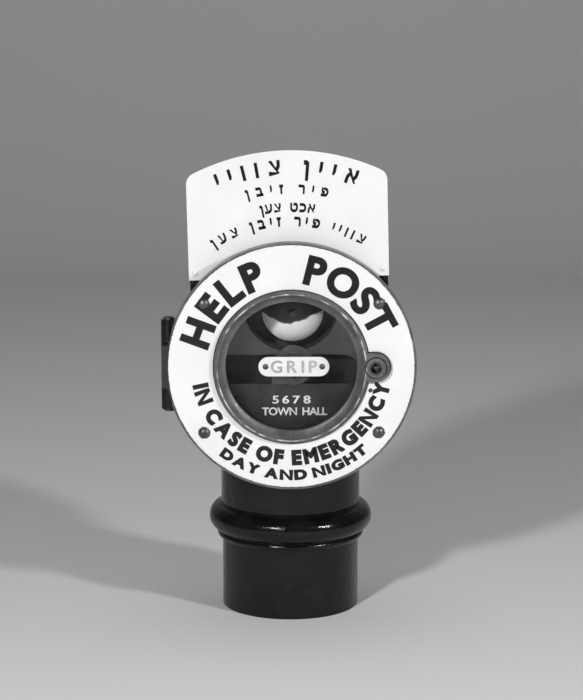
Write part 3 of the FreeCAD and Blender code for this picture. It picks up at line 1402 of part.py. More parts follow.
def make_gland():
    """The plug in the neck with the inlet hole for the line cable."""
    at = (0, 0, "gland_foot")
    disc = cylinder("gland_disc", "neck_bore", "gland_thickness", at)
    rim = cylinder("gland_rim", "gland_rim_radius", "gland_rim_length", at)
    hole = cylinder("gland_bore", "gland_hole", "gland_rim_length + 2", (0, 0, "gland_foot - 1"))
    return cut("cable_gland", fuse("gland_blank", disc, rim), hole)


def make_face_screws():
    master = round_screw("face_screw", "4.6", "2.2", "2.5", "face_thickness + 12", 1)
    places = []
    for index, angle in enumerate(QUARTERS):
        across, up = polar("lug_circle", angle)
        places.append(((across, "-face_front", up), "-Y", 50 * index))
    return copies("face_plate_screws", master, places)


def make_number_screws():
    master = round_screw("number_screw", "3.2", "1.4", "1.6", "face_thickness", 0.8)
    places = [
        ((across, "-(face_front + number_plate_thickness)", up), "-Y", 20)
        for across, up in number_plate_screw_places()
    ]
    return copies("number_plate_screws", master, places)


def make_retainer_screws():
    master = round_screw("retainer_screw", "3.2", "1.6", "1.6", "retainer_thickness + 4.5", 0.8)
    seat = "-(drum_front + door_gap - retainer_thickness)"
    places = [
        ((across, seat, up), "+Y", 33 * index)
        for index, (across, up) in enumerate(retainer_screw_places())
    ]
    return copies("retainer_screws", master, places)


def make_hinge_pin():
    """A pin with a low head at each end."""
    low = "head_height - knuckle_lower"
    shaft = cylinder(
        "pin_shaft",
        "hinge_pin_radius",
        "knuckle_lower + knuckle_upper",
        ("-hinge_x", "-hinge_y", low),
    )
    top = cylinder(
        "pin_top",
        "hinge_head_radius",
        "hinge_head",
        ("-hinge_x", "-hinge_y", "head_height + knuckle_upper"),
    )
    foot_at = ("-hinge_x", "-hinge_y", low + " - hinge_head")
    foot = cylinder("pin_foot", "hinge_head_radius", "hinge_head", foot_at)
    return fuse("hinge_pin", shaft, top, foot)


def make_set_screws():
    """Three screws that hold the column in the neck, and three that hold the neck on the head."""
    screws = []
    for angle in grub_places():
        column = "spigot_radius", "spigot_radius + grub_length", "grub_drop"
        screws.append(grub("column_screw_" + angle, angle, "grub_radius", *column))
        neck = "register_radius", "neck_radius + 1", NECK_SCREW_DROP
        screws.append(grub("neck_screw_" + angle, angle, "neck_screw_radius", *neck))
    return group("set_screws", screws)


def build():
    """Every piece by its node's name."""
    nodes = {"column": make_column(), "neck_casting": make_neck(), "set_screws": make_set_screws()}
    nodes["head_casting"] = make_head_casting()
    nodes["hinge_pin"] = make_hinge_pin()
    nodes["door_seal"] = make_seal()
    nodes["cable_gland"] = make_gland()
    nodes["door_casting"] = make_door_casting()
    nodes["enamel_ring"] = make_enamel_ring()
    nodes["ring_screws"] = make_ring_screws()
    nodes["glass_pane"], nodes["glass_gasket"] = make_glass_and_gasket()
    nodes["glass_retainer"] = make_retainer()
    nodes["retainer_screws"] = make_retainer_screws()
    nodes["lock_bush"], nodes["lock_spindle"], nodes["lock_cam"], nodes["cam_nut"] = make_lock()
    nodes["strike_plate"], nodes["strike_screws"], strike_holes = make_keeper()
    nodes["face_plate"] = make_face_plate()
    nodes["face_plate_screws"] = make_face_screws()
    nodes["number_plate"] = make_number_plate()
    nodes["number_plate_screws"] = make_number_screws()
    nodes["stem_guide"], nodes["stem_bush"], nodes["guide_nut"] = make_guide()
    bar, stem, label, screws, collar, pin = make_pull()
    nodes["pull_bar"], nodes["pull_stem"], nodes["pull_label"] = bar, stem, label
    nodes["label_screws"], nodes["stem_collar"], nodes["collar_pin"] = screws, collar, pin
    nodes["return_spring"] = make_return_spring()
    nodes["mechanism_board"], nodes["board_pillars"], nodes["board_screws"] = make_board()
    nodes["gong"], nodes["gong_post"], nodes["gong_screw"] = make_gong()
    magnet, coils, hammer, ball, pivot = make_hammer()
    nodes["magnet_yoke"], nodes["magnet_coils"] = magnet, coils
    nodes["hammer_arm"], nodes["hammer_ball"], nodes["hammer_pivot"] = hammer, ball, pivot
    lever, moving, bracket, lever_pin, block, leaf, screw = make_contacts()
    nodes["contact_lever"], nodes["moving_contact"] = lever, moving
    nodes["lever_bracket"], nodes["lever_pivot"] = bracket, lever_pin
    nodes["contact_block"], nodes["fixed_contact"], nodes["contact_screw"] = block, leaf, screw
    nodes["terminal_block"], nodes["terminal_screws"] = make_terminals()
    nodes["sign_plate"], brackets, nodes["sign_screws"], foot_places = make_sign()
    nodes["sign_bracket_left"], nodes["sign_bracket_right"] = brackets
    nodes["bracket_screws"] = make_bracket_screws(foot_places)
    bored = [place[3] for place in foot_places] + strike_holes
    nodes["head_casting"] = cut("head_bored", nodes["head_casting"], *bored)
    return nodes


def check_and_export(nodes):
    """Stop on any failed object; then write each piece under its node's name."""
    doc.recompute()
    failed = [one.Name for one in doc.Objects if {"Invalid", "Error"} & set(one.State)]
    if failed:
        raise RuntimeError("failed objects: " + ", ".join(failed))
    for node, piece in nodes.items():
        if piece.Shape.isNull() or not piece.Shape.isValid() or not piece.Shape.Solids:
            raise RuntimeError("bad shape: " + node)
        if piece.Shape.Volume <= 0:
            raise RuntimeError("inside out: " + node)
    os.makedirs("parts", exist_ok=True)
    for node, piece in nodes.items():
        piece.Label = node
        piece.Shape.exportStep("parts/%s.step" % node)
    print("%d nodes, %d solids" % (len(nodes), sum(len(piece.Shape.Solids) for piece in nodes.values())))


check_and_export(build())
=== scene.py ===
# %% [markdown]
# # Street fire alarm box
# A round cast head on an iron post. A glazed door carries a white enamelled ring with lettering, and
# behind the glass there is a pull bar. A white sign stands over the head.
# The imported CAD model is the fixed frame: every size and place below is read from it.

import math

import bpy
import numpy as np
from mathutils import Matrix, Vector


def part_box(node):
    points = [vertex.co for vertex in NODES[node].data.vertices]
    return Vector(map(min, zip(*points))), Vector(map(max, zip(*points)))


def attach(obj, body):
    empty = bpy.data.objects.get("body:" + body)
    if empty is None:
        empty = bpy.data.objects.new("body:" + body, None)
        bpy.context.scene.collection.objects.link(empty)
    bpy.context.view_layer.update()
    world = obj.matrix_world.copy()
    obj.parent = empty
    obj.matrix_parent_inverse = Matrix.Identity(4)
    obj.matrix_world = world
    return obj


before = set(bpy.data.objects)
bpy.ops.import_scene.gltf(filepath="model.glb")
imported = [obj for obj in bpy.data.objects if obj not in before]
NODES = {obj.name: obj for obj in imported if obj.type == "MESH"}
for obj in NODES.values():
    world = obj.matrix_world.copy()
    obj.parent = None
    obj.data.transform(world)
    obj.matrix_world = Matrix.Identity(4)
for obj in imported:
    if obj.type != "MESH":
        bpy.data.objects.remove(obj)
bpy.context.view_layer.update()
MM = 0.001


def extent(node):
    """Lowest and highest corner of a CAD node as numpy rows."""
    low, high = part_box(node)
    return np.array(low), np.array(high)


# %% [markdown]
# ## Where things are
# The enamelled ring is round, so its box gives the head's centre and radius, and its lowest Y is the
# plane that the lettering lies on. The label, the number plate and the sign are read the same way.
# Reading them here means that no size is typed twice.

# %% Main places
ring_low, ring_high = extent("enamel_ring")
HEAD = Vector((0.0, ring_low[1], (ring_low[2] + ring_high[2]) / 2))
FACE_Y = ring_low[1]
RING_RADIUS = (ring_high[0] - ring_low[0]) / 2
label_low, label_high = extent("pull_label")
label_middle = (label_low + label_high) / 2
NUMBER_Y = extent("number_plate")[0][1]
SIGN_Y = extent("sign_plate")[0][1]
print("head centre", tuple(round(v, 4) for v in HEAD), "ring radius", round(RING_RADIUS, 4))

# %% [markdown]
# ## Camera
# A long lens from a little above, looking down by eleven degrees and a shade from the left. The aim is
# set by where the face's centre should fall in the picture: slightly below its middle.

# %% Camera
LENS_MM, SENSOR_MM = 135.8, 36.0
DISTANCE = 2.864
TILT, SIDE = math.radians(11.0), math.radians(-0.8)
# share of the distance by which the aim is above the face's centre
RISE = 0.00652
FAR_CLIP = 60

ahead = Vector(
    (-math.sin(SIDE) * math.cos(TILT), math.cos(SIDE) * math.cos(TILT), -math.sin(TILT))
)
right = Vector((math.cos(SIDE), math.sin(SIDE), 0.0))
above = right.cross(ahead)
camera_data = bpy.data.cameras.new("camera")
camera_data.lens = LENS_MM
camera_data.sensor_width = SENSOR_MM
camera_data.clip_end = FAR_CLIP
camera = bpy.data.objects.new("camera", camera_data)
bpy.context.scene.collection.objects.link(camera)
camera.location = HEAD - DISTANCE * (ahead - RISE * above)
camera.rotation_mode = "QUATERNION"
camera.rotation_quaternion = ahead.to_track_quat("-Z", "Y")
bpy.context.scene.camera = camera
print("camera at", tuple(round(v, 3) for v in camera.location))

# %% [markdown]
# ## A surface from a numpy grid
# The studio's sweep is a grid of points worked out as whole arrays. `grid_faces` joins neighbouring
# rows and columns with four-sided faces, and `add_object` puts both into a mesh.


# %% Mesh helpers
def add_object(name, points, faces):
    """A smooth mesh object from an (n, 3) array of points and an array of faces."""
    mesh = bpy.data.meshes.new(name)
    mesh.from_pydata(np.asarray(points, float).tolist(), [], np.asarray(faces).tolist())
    mesh.update()
    mesh.shade_smooth()
    piece = bpy.data.objects.new(name, mesh)
    bpy.context.scene.collection.objects.link(piece)
    return piece


def grid_faces(rows, columns):
    """Faces of a rows by columns grid: each point with its right, diagonal and lower neighbour."""
    r, c = np.meshgrid(np.arange(rows - 1), np.arange(columns - 1), indexing="ij")
    first = (r * columns + c).ravel()
    return np.stack([first, first + 1, first + columns + 1, first + columns], axis=1)


# %% [markdown]
# ## Materials from nodes
# Every finish is built the same way: a Principled shader, patterns that read Object coordinates so
# that they stay put on the piece, a colour that varies a little, and a bump for the fine relief.


# %% Node helpers
class Finish:
    """A material and short ways to add nodes to it. Lengths are in metres."""

    def __init__(self, name, colour, roughness, metallic=0.0):
        self.material = bpy.data.materials.new(name)
        self.material.use_nodes = True
        self.nodes = self.material.node_tree.nodes
        self.links = self.material.node_tree.links
        self.shader = self.nodes["Principled BSDF"]
        self.set(base_color=(*colour, 1), roughness=roughness, metallic=metallic)

    def set(self, **values):
        """Plain values on the shader's own sockets."""
        for name, value in values.items():
            self.socket(name).default_value = value

    def socket(self, name):
        """The shader's input of this name, with underscores for spaces."""
        wanted = name.replace("_", " ").lower()
        return [s for s in self.shader.inputs if s.name.lower() == wanted][0]

    def place(self, stretch=(1, 1, 1), shift=(0, 0, 0)):
        """Object coordinates, moved and stretched."""
        coordinates = self.nodes.new("ShaderNodeTexCoord")
        mapping = self.nodes.new("ShaderNodeMapping")
        mapping.inputs["Location"].default_value = shift
        mapping.inputs["Scale"].default_value = stretch
        self.links.new(coordinates.outputs["Object"], mapping.inputs["Vector"])
        return mapping.outputs["Vector"]

    def noise(self, scale, detail=3.0, rough=0.5, stretch=(1, 1, 1), shift=(0, 0, 0)):
        """Fractal noise of about `scale` lumps per metre."""
        texture = self.nodes.new("ShaderNodeTexNoise")
        texture.inputs["Scale"].default_value = scale
        texture.inputs["Detail"].default_value = detail
        texture.inputs["Roughness"].default_value = rough
        self.links.new(self.place(stretch, shift), texture.inputs["Vector"])
        return texture.outputs["Fac"]

    def spread(self, value, low, high, to_low=0.0, to_high=1.0):
        """Map a value from one range to another, held at the ends."""
        node = self.nodes.new("ShaderNodeMapRange")
        names = "From Min", "From Max", "To Min", "To Max"
        for name, number in zip(names, (low, high, to_low, to_high)):
            node.inputs[name].default_value = number
        self.links.new(value, node.inputs["Value"])
        return node.outputs["Result"]

    def maths(self, operation, a, b=0.0):
        """One Math node. Either side may be a number or an output."""
        node = self.nodes.new("ShaderNodeMath")
        node.operation = operation
        for index, value in enumerate((a, b)):
            if isinstance(value, (int, float)):
                node.inputs[index].default_value = value
            else:
                self.links.new(value, node.inputs[index])
        return node.outputs["Value"]

    def blend(self, factor, a, b):
        """Colour a where the factor is 0 and colour b where it is 1."""
        node = self.nodes.new("ShaderNodeMix")
        node.data_type = "RGBA"
        self.links.new(factor, node.inputs["Factor"])
        for socket, colour in ((node.inputs[6], a), (node.inputs[7], b)):
            if isinstance(colour, tuple):
                socket.default_value = (*colour, 1)
            else:
                self.links.new(colour, socket)
        return node.outputs[2]

    def near(self, point, radius, ragged, scale):
        """1 near a point and 0 outside a radius. Noise moves the edge by up to `ragged`."""
        distance = self.nodes.new("ShaderNodeVectorMath")
        distance.operation = "DISTANCE"
        self.links.new(self.place(), distance.inputs[0])
        distance.inputs[1].default_value = point
        centred = self.maths("SUBTRACT", self.noise(scale, 2), 0.5)
        wobble = self.maths("MULTIPLY", centred, ragged * 2)
        reach = self.maths("ADD", distance.outputs["Value"], wobble)
        return self.spread(reach, radius, radius * 0.85)

    def axis(self, letter):
        """One Object coordinate, in metres."""
        split = self.nodes.new("ShaderNodeSeparateXYZ")
        self.links.new(self.place(), split.inputs["Vector"])
        return split.outputs[letter]

    def from_axis(self, point):
        """Distance from a line along Y through a point: sqrt((x - px)^2 + (z - pz)^2)."""
        x = self.maths("SUBTRACT", self.axis("X"), point[0])
        z = self.maths("SUBTRACT", self.axis("Z"), point[2])
        total = self.maths("ADD", self.maths("MULTIPLY", x, x), self.maths("MULTIPLY", z, z))
        return self.maths("SQRT", total)

    def band(self, distance, middle, half):
        """1 where a distance is at the middle of a band, falling to 0 at half its width away."""
        away = self.maths("ABSOLUTE", self.maths("SUBTRACT", distance, middle))
        return self.spread(away, half, half * 0.4)

    def link(self, value, name):
        """Feed a node's output to a socket of the shader."""
        self.links.new(value, self.socket(name))

    def bump(self, height, depth, strength, under=None):
        """Relief of this depth from a height pattern, on top of another relief."""
        node = self.nodes.new("ShaderNodeBump")
        node.inputs["Distance"].default_value = depth
        node.inputs["Strength"].default_value = strength
        self.links.new(height, node.inputs["Height"])
        if under is not None:
            self.links.new(under, node.inputs["Normal"])
        self.links.new(node.outputs["Normal"], self.socket("normal"))
        return node.outputs["Normal"]


def paint_nodes(finish, *names):
    """Give a finish to CAD nodes through their material slots."""
    for name in names:
        for slot in NODES[name].material_slots:
            slot.material = finish.material


def wear(finish, piece):
    """Give a finish to a new piece."""
    piece.data.materials.clear()
    piece.data.materials.append(finish.material)
    return piece


# %% [markdown]
# ## Post paint
# Cast iron under many coats of dark gloss paint. The casting's skin is lumpy at about 10 mm, and brush
# marks run up and down, so one noise is stretched along Z. A third, very fine one is the paint's own
# texture. The grey and the gloss both vary a little, and rare chips show a paler undercoat.

# %% Post paint
POST_DARK, POST_DUSTY = 0.004, 0.010
post_paint = Finish("post_paint", (POST_DARK, POST_DARK, POST_DARK), 0.3)
post_paint.set(specular_ior_level=0.32)
skin = post_paint.bump(post_paint.noise(95, 3), 0.0012, 0.6)
brush_marks = post_paint.noise(380, 3, 0.6, stretch=(1, 1, 0.10))
skin = post_paint.bump(brush_marks, 0.0003, 0.6, skin)
post_paint.bump(post_paint.noise(1500, 2), 0.00008, 0.35, skin)
dust = post_paint.spread(post_paint.noise(28, 4, 0.6), 0.42, 0.72)
dark, dusty = (POST_DARK, POST_DARK, POST_DARK * 1.03), (POST_DUSTY, POST_DUSTY, POST_DUSTY)
chips = post_paint.spread(post_paint.noise(260, 5, 0.7), 0.69, 0.73)
undercoat = (POST_DUSTY * 3, POST_DUSTY * 3, POST_DUSTY * 3)
post_paint.link(
    post_paint.blend(chips, post_paint.blend(dust, dark, dusty), undercoat), "base_color"
)
post_paint.link(post_paint.spread(post_paint.noise(60, 4), 0.3, 0.7, 0.10, 0.22), "roughness")
print("post paint nodes", len(post_paint.nodes))

# %% [markdown]
# ## Door paint
# The door is the same iron with a thinner, greyer coat. Hands and keys have rubbed it: flecks show
# lighter metal. The bezel's crest has a bright band in places, partly worn paint and partly a painted
# highlight. The groove round the lock's boss is painted near black, and the hinge knuckles are darker.
# Distances from the head's and the lock's axis say where each of these falls.

# %% Door paint
lock_low, lock_high = extent("lock_bush")
LOCK = (lock_low + lock_high) / 2
BEZEL_CREST, BOSS_FOOT = 80.8 * MM, 11.6 * MM
BAND_WIDTH = 0.9 * MM
HINGE_SIDE = -(RING_RADIUS - 9 * MM)
GROOVE_BLACK = (0.012, 0.012, 0.012)

door_paint = Finish("door_paint", (0.085, 0.085, 0.088), 0.36)
door_relief = door_paint.bump(door_paint.noise(230, 3), 0.0005, 0.5)
door_paint.bump(door_paint.noise(1300, 2), 0.00008, 0.4, door_relief)
flecks = door_paint.spread(door_paint.noise(420, 5, 0.65), 0.62, 0.70)
tone = door_paint.spread(door_paint.noise(45, 4), 0.35, 0.7)
coat = door_paint.blend(tone, (0.075, 0.075, 0.077), (0.16, 0.16, 0.163))
coat = door_paint.blend(flecks, coat, (0.34, 0.34, 0.34))
# painted highlight and wear: a bright band along the bezel's crest, shown where this noise allows
highlight_and_wear_patches = door_paint.spread(door_paint.noise(70, 3, shift=(0.3, 0, 0)), 0.46, 0.60)
crest_highlight = door_paint.band(door_paint.from_axis(HEAD), BEZEL_CREST, BAND_WIDTH)
coat = door_paint.blend(door_paint.maths("MULTIPLY", crest_highlight, highlight_and_wear_patches), coat, (0.66, 0.66, 0.65))
# the groove round the lock's boss is painted near black
groove = door_paint.band(door_paint.from_axis(LOCK), BOSS_FOOT, BAND_WIDTH)
coat = door_paint.blend(groove, coat, GROOVE_BLACK)
knuckle = door_paint.spread(door_paint.axis("X"), HINGE_SIDE - 4 * MM, HINGE_SIDE - 5 * MM)
coat = door_paint.blend(knuckle, coat, (0.030, 0.030, 0.030))
door_paint.link(coat, "base_color")
door_paint.link(door_paint.spread(door_paint.noise(90, 3), 0.3, 0.7, 0.26, 0.44), "roughness")
print("door paint nodes", len(door_paint.nodes))

# %% [markdown]
# ## White enamel
# Vitreous enamel is glass on steel: very white, glossy, and slightly uneven like orange peel. It chips
# where screws pinch it, so a ragged dark spot sits round each fixing, one round the lock and a small
# one below it. The ring's outer edge is worn grey. A chip is every point nearer to its middle than
# its radius, with noise added to that distance.

# %% White enamel
SCREW_SPAN = 14 * MM
RAGGED_EDGE = 1.2 * MM


def screw_points(node):
    """Middle of each separate screw of a node, found by grouping its points."""
    mesh = NODES[node].data
    points = np.zeros(len(mesh.vertices) * 3)
    mesh.vertices.foreach_get("co", points)
    points = points.reshape(-1, 3)
    middles, left = [], points
    while len(left):
        near = np.linalg.norm(left[:, [0, 2]] - left[0, [0, 2]], axis=1) < SCREW_SPAN
        middles.append((left[near].min(0) + left[near].max(0)) / 2)
        left = left[~near]
    return middles


def enamel(name, chips=(), round_edge=None):
    """White enamel with ragged chips (point, radius) and a worn round edge (centre, radius)."""
    finish = Finish(name, (0.86, 0.86, 0.85), 0.12)
    finish.set(coat_weight=0.35, coat_roughness=0.06)
    finish.bump(finish.noise(150, 2), 0.00012, 0.35)
    tone = finish.spread(finish.noise(18, 4), 0.3, 0.75)
    colour = finish.blend(tone, (0.88, 0.88, 0.87), (0.80, 0.80, 0.785))
    specks = finish.spread(finish.noise(520, 4, 0.7), 0.735, 0.76)
    colour = finish.blend(specks, colour, (0.30, 0.30, 0.29))
    for index, (point, radius) in enumerate(chips):
        spot = finish.near(tuple(point), radius, RAGGED_EDGE, 420 + 30 * index)
        colour = finish.blend(spot, colour, (0.035, 0.035, 0.035))
    if round_edge:
        ragged = finish.maths("MULTIPLY", finish.noise(260, 4, 0.7), 3.2 * MM)
        reach = finish.maths("ADD", finish.from_axis(round_edge[0]), ragged)
        worn = finish.spread(reach, round_edge[1] + 1.35 * MM, round_edge[1] + 1.6 * MM)
        colour = finish.blend(worn, colour, (0.10, 0.10, 0.10))
    finish.link(colour, "base_color")
    finish.link(finish.spread(finish.noise(70, 3), 0.3, 0.8, 0.08, 0.22), "roughness")
    return finish


SCREW_CHIP, LOCK_CHIP, SMALL_CHIP = 7.3 * MM, 18.2 * MM, 2.6 * MM
ring_chips = [((p[0], FACE_Y, p[2]), SCREW_CHIP) for p in screw_points("ring_screws")]
ring_chips += [
    ((LOCK[0] - 5.5 * MM, FACE_Y, LOCK[2] - 26 * MM), SMALL_CHIP),
    ((LOCK[0], FACE_Y, LOCK[2]), LOCK_CHIP),
]
ring_enamel = enamel("ring_enamel", ring_chips, (HEAD, RING_RADIUS))
sign_enamel = enamel("sign_enamel")
label_enamel = enamel("label_enamel")
print("chips", len(ring_chips))

# %% [markdown]
# ## Other finishes
# Black japan is the thin stoved coat on the plates behind the glass. Steel, brass and nickel are
# metals: their colour is in the reflection, and fine noise in the roughness keeps them from looking
# like mirrors. Two functions make them all, so that a new finish is one line.

# %% Plain finishes
def metal(name, colour, roughness, grain=500, scuff=0.12):
    """Bare metal with dull patches. Grain is the lumps per metre of its finest noise."""
    finish = Finish(name, colour, roughness, 1.0)
    finish.bump(finish.noise(grain, 3), 0.00006, 0.4)
    scuffs = finish.noise(grain / 3, 4)
    finish.link(finish.spread(scuffs, 0.3, 0.7, roughness - scuff, roughness + scuff), "roughness")
    patches = finish.spread(finish.noise(grain / 5, 4), 0.45, 0.75)
    dull = tuple(c * 0.55 for c in colour)
    finish.link(finish.blend(patches, colour, dull), "base_color")
    return finish


def moulded(name, colour, roughness, depth=0.00015):
    """Paint, rubber or moulded stuff with a fine relief and paler, dusty patches."""
    finish = Finish(name, colour, roughness)
    finish.bump(finish.noise(700, 3), depth, 0.4)
    patches = finish.spread(finish.noise(70, 4), 0.4, 0.75)
    pale = tuple(min(1, c * 1.7 + 0.008) for c in colour)
    finish.link(finish.blend(patches, colour, pale), "base_color")
    gloss = finish.noise(150, 3)
    finish.link(finish.spread(gloss, 0.3, 0.7, roughness - 0.08, roughness + 0.1), "roughness")
    return finish


steel = metal("screw_steel", (0.30, 0.30, 0.30), 0.38)
dark_steel = metal("dark_steel", (0.16, 0.16, 0.16), 0.45)
brass = metal("aged_brass", (0.50, 0.42, 0.27), 0.36)
nickel = metal("gong_nickel", (0.86, 0.86, 0.85), 0.45, 300, 0.08)
nickel.set(metallic=0.25)
iron = metal("blued_iron", (0.13, 0.13, 0.14), 0.45)
silver = metal("contact_silver", (0.80, 0.80, 0.80), 0.25)
spring_steel = metal("spring_steel", (0.30, 0.30, 0.31), 0.35)
black_japan = moulded("black_japan", (0.035, 0.035, 0.036), 0.32)
plate_black = moulded("number_plate_black", (0.009, 0.009, 0.009), 0.4, 0.00005)
ebonite = moulded("ebonite", (0.030, 0.027, 0.025), 0.40)
rubber = moulded("rubber", (0.022, 0.022, 0.022), 0.72, 0.0003)
coil_silk = Finish("coil_silk", (0.05, 0.11, 0.06), 0.6)
coil_silk.bump(coil_silk.noise(1, 1, stretch=(2400, 1, 1)), 0.0004, 0.8)
print("finishes so far", len(bpy.data.materials))

# %% [markdown]
# ## Gong
# The gong is pale nickel, and its top is coloured near black as a painted shadow. Only a lit crescent
# at its foot keeps the pale colour. The edge between the two follows a height that falls with the
# distance from the middle, plus some noise, so the crescent's horns reach higher than its middle.

# %% Gong
gong_foot = extent("gong")[0][2]
CRESCENT, SHADOW_BLUR, SHADOW_WANDER, HORN_RISE = 26 * MM, 2 * MM, 12 * MM, 0.35
gong_metal = Finish("gong_metal", (0.9, 0.9, 0.89), 0.45)
gong_metal.bump(gong_metal.noise(200, 3), 0.0001, 0.4)
wander = gong_metal.maths("MULTIPLY", gong_metal.noise(45, 2), SHADOW_WANDER)
height = gong_metal.maths("ADD", gong_metal.axis("Z"), wander)
sideways = gong_metal.maths("ABSOLUTE", gong_metal.axis("X"))
height = gong_metal.maths("ADD", height, gong_metal.maths("MULTIPLY", sideways, -HORN_RISE))
# painted shadow: above this edge the gong is coloured near black, where the bezel's shadow falls
painted_shadow = gong_metal.spread(height, gong_foot + CRESCENT, gong_foot + CRESCENT + SHADOW_BLUR)
gong_metal.link(gong_metal.blend(painted_shadow, (0.97, 0.97, 0.96), (0.008, 0.008, 0.008)), "base_color")
print("gong foot", round(float(gong_foot), 4))

# %% [markdown]
# ## Face plate
# The plate behind the glass is japanned like its neighbours. Its well and finger trough are near black
# and matt as painted shade, so that the gong and the bar stand out. A depth along Y tells them apart.

# %% Face plate
face_y = extent("face_plate")[0][1]
face_black = Finish("face_black", (0.03, 0.03, 0.03), 0.33)
face_black.bump(face_black.noise(160, 2), 0.0002, 0.3)
sheen = face_black.spread(face_black.noise(40, 4), 0.35, 0.7)
front = face_black.blend(sheen, (0.034, 0.034, 0.035), (0.066, 0.066, 0.068))
worn = face_black.spread(face_black.noise(330, 5, 0.7), 0.68, 0.74)
front = face_black.blend(worn, front, (0.15, 0.15, 0.15))
# painted shade: behind the plate's front, the well and the trough are coloured near black
recess_shade = face_black.spread(face_black.axis("Y"), face_y + 1.0 * MM, face_y + 2.5 * MM)
face_black.link(face_black.blend(recess_shade, front, (0.004, 0.004, 0.004)), "base_color")
face_black.link(face_black.spread(recess_shade, 0.0, 1.0, 0.30, 0.75), "roughness")
print("face plate's front at", round(float(face_y), 4))

# %% [markdown]
# ## Glass
# The pane is ordinary window glass with a little grime. A path tracer sends no lamp light through a
# refracting sheet. So only the camera's rays meet the glass shader, and all others pass through a clear
# one: the parts behind are lit as if by daylight. A thin pane hardly bends the view, hence the low IOR.

# %% Glass
glass = Finish("window_glass", (0.96, 0.98, 0.975), 0.02)
glass.set(transmission_weight=1.0, ior=1.05, coat_weight=0.35, coat_roughness=0.02)
glass.link(glass.spread(glass.noise(55, 5, 0.6), 0.5, 0.85, 0.0, 0.07), "roughness")
clear = glass.nodes.new("ShaderNodeBsdfTransparent")
rays = glass.nodes.new("ShaderNodeLightPath")
either = glass.nodes.new("ShaderNodeMixShader")
glass.links.new(rays.outputs["Is Camera Ray"], either.inputs["Fac"])
glass.links.new(clear.outputs["BSDF"], either.inputs[1])
glass.links.new(glass.shader.outputs["BSDF"], either.inputs[2])
glass.links.new(either.outputs["Shader"], glass.nodes["Material Output"].inputs["Surface"])
print("glass nodes", len(glass.nodes))

# %% [markdown]
# ## Which piece wears what
# A CAD node keeps its own material slots, and a finish is put into them. Castings are painted,
# everything that must not rust is brass, and fixings are dull steel. The sign's screws are enamelled
# like the sign, so they hardly show.

# %% Finishes of the CAD nodes
paint_nodes(
    post_paint,
    "column",
    "neck_casting",
    "head_casting",
    "sign_bracket_left",
    "sign_bracket_right",
)
paint_nodes(door_paint, "door_casting")
paint_nodes(ring_enamel, "enamel_ring")
paint_nodes(sign_enamel, "sign_plate", "sign_screws")
paint_nodes(label_enamel, "pull_label")
paint_nodes(
    steel,
    "face_plate_screws",
    "number_plate_screws",
    "retainer_screws",
    "board_screws",
    "board_pillars",
    "strike_screws",
    "cam_nut",
    "guide_nut",
)
paint_nodes(
    dark_steel,
    "set_screws",
    "bracket_screws",
    "hinge_pin",
    "label_screws",
    "ring_screws",
    "lock_bush",
    "lock_spindle",
    "gong_screw",
)
paint_nodes(glass, "glass_pane")
paint_nodes(rubber, "glass_gasket", "door_seal", "cable_gland")
paint_nodes(face_black, "face_plate")
paint_nodes(black_japan, "glass_retainer", "strike_plate", "stem_guide", "pull_bar")
paint_nodes(plate_black, "number_plate")
paint_nodes(
    brass,
    "stem_bush",
    "lock_cam",
    "pull_stem",
    "stem_collar",
    "collar_pin",
    "lever_bracket",
    "lever_pivot",
    "fixed_contact",
    "contact_screw",
    "terminal_screws",
    "hammer_pivot",
    "contact_lever",
    "gong_post",
)
paint_nodes(nickel, "hammer_ball")
paint_nodes(gong_metal, "gong")
paint_nodes(iron, "magnet_yoke", "hammer_arm")
paint_nodes(coil_silk, "magnet_coils")
paint_nodes(ebonite, "mechanism_board", "contact_block", "terminal_block")
paint_nodes(silver, "moving_contact")
paint_nodes(spring_steel, "return_spring")
print("nodes painted", len(NODES))

# %% [markdown]
# ## Lettering
# Signwriters draw each letter upright and then turn it to follow the arc. So each character is made
# a mesh on its own, brought to the same cap height, and placed rigidly at its own angle. The spaces
# between letters share out whatever length the line has left. The built-in font is thin, so its
# outlines are moved outwards first. A solidify modifier gives the flat letters the thickness of paint.


# %% Characters as meshes
PAINT_THICKNESS = 0.25 * MM
# share of the thickness by which the paint also sinks into its plate
SINK = 0.2


def bare_glyph(character):
    """Flat points and faces of one character of the built-in font."""
    curve = bpy.data.curves.new("glyph", "FONT")
    curve.body = character
    curve.resolution_u = 8
    text = bpy.data.objects.new("glyph", curve)
    bpy.context.scene.collection.objects.link(text)
    bpy.context.view_layer.update()
    mesh = bpy.data.meshes.new_from_object(text)
    points = np.zeros(len(mesh.vertices) * 3)
    mesh.vertices.foreach_get("co", points)
    faces = [tuple(p.vertices) for p in mesh.polygons]
    bpy.data.objects.remove(text)
    bpy.data.meshes.remove(mesh)
    return points.reshape(-1, 3)[:, :2], faces


def thickened(points, faces, across, up):
    """Each outline point moved outwards, by one amount sideways and another upwards.

    The outward direction at a corner is the sum of its two edges' normals over 1 + their dot
    product, which keeps both edges parallel to where they were.
    """
    edges = np.array([pair for f in faces for pair in zip(f, f[1:] + f[:1])])
    known = set(map(tuple, edges))
    rim = np.array([edge for edge in map(tuple, edges) if edge[::-1] not in known])
    run = points[rim[:, 1]] - points[rim[:, 0]]
    length = np.maximum(np.linalg.norm(run, axis=1), 1e-9)
    normal = np.stack([run[:, 1], -run[:, 0]], 1) / length[:, None]
    total = np.zeros_like(points)
    squares = np.zeros(len(points))
    for end in (0, 1):
        np.add.at(total, rim[:, end], normal)
        np.add.at(squares, rim[:, end], 1.0)
    cosine = (total**2).sum(1) / 2 - 1
    move = total / np.maximum(1 + cosine, 0.75)[:, None]
    move[squares != 2] = 0
    return points + move * np.array([across, up])


def glyph(character, across, up):
    """A character of the built-in font with its strokes made thicker."""
    points, faces = bare_glyph(character)
    return thickened(points, faces, across, up), faces


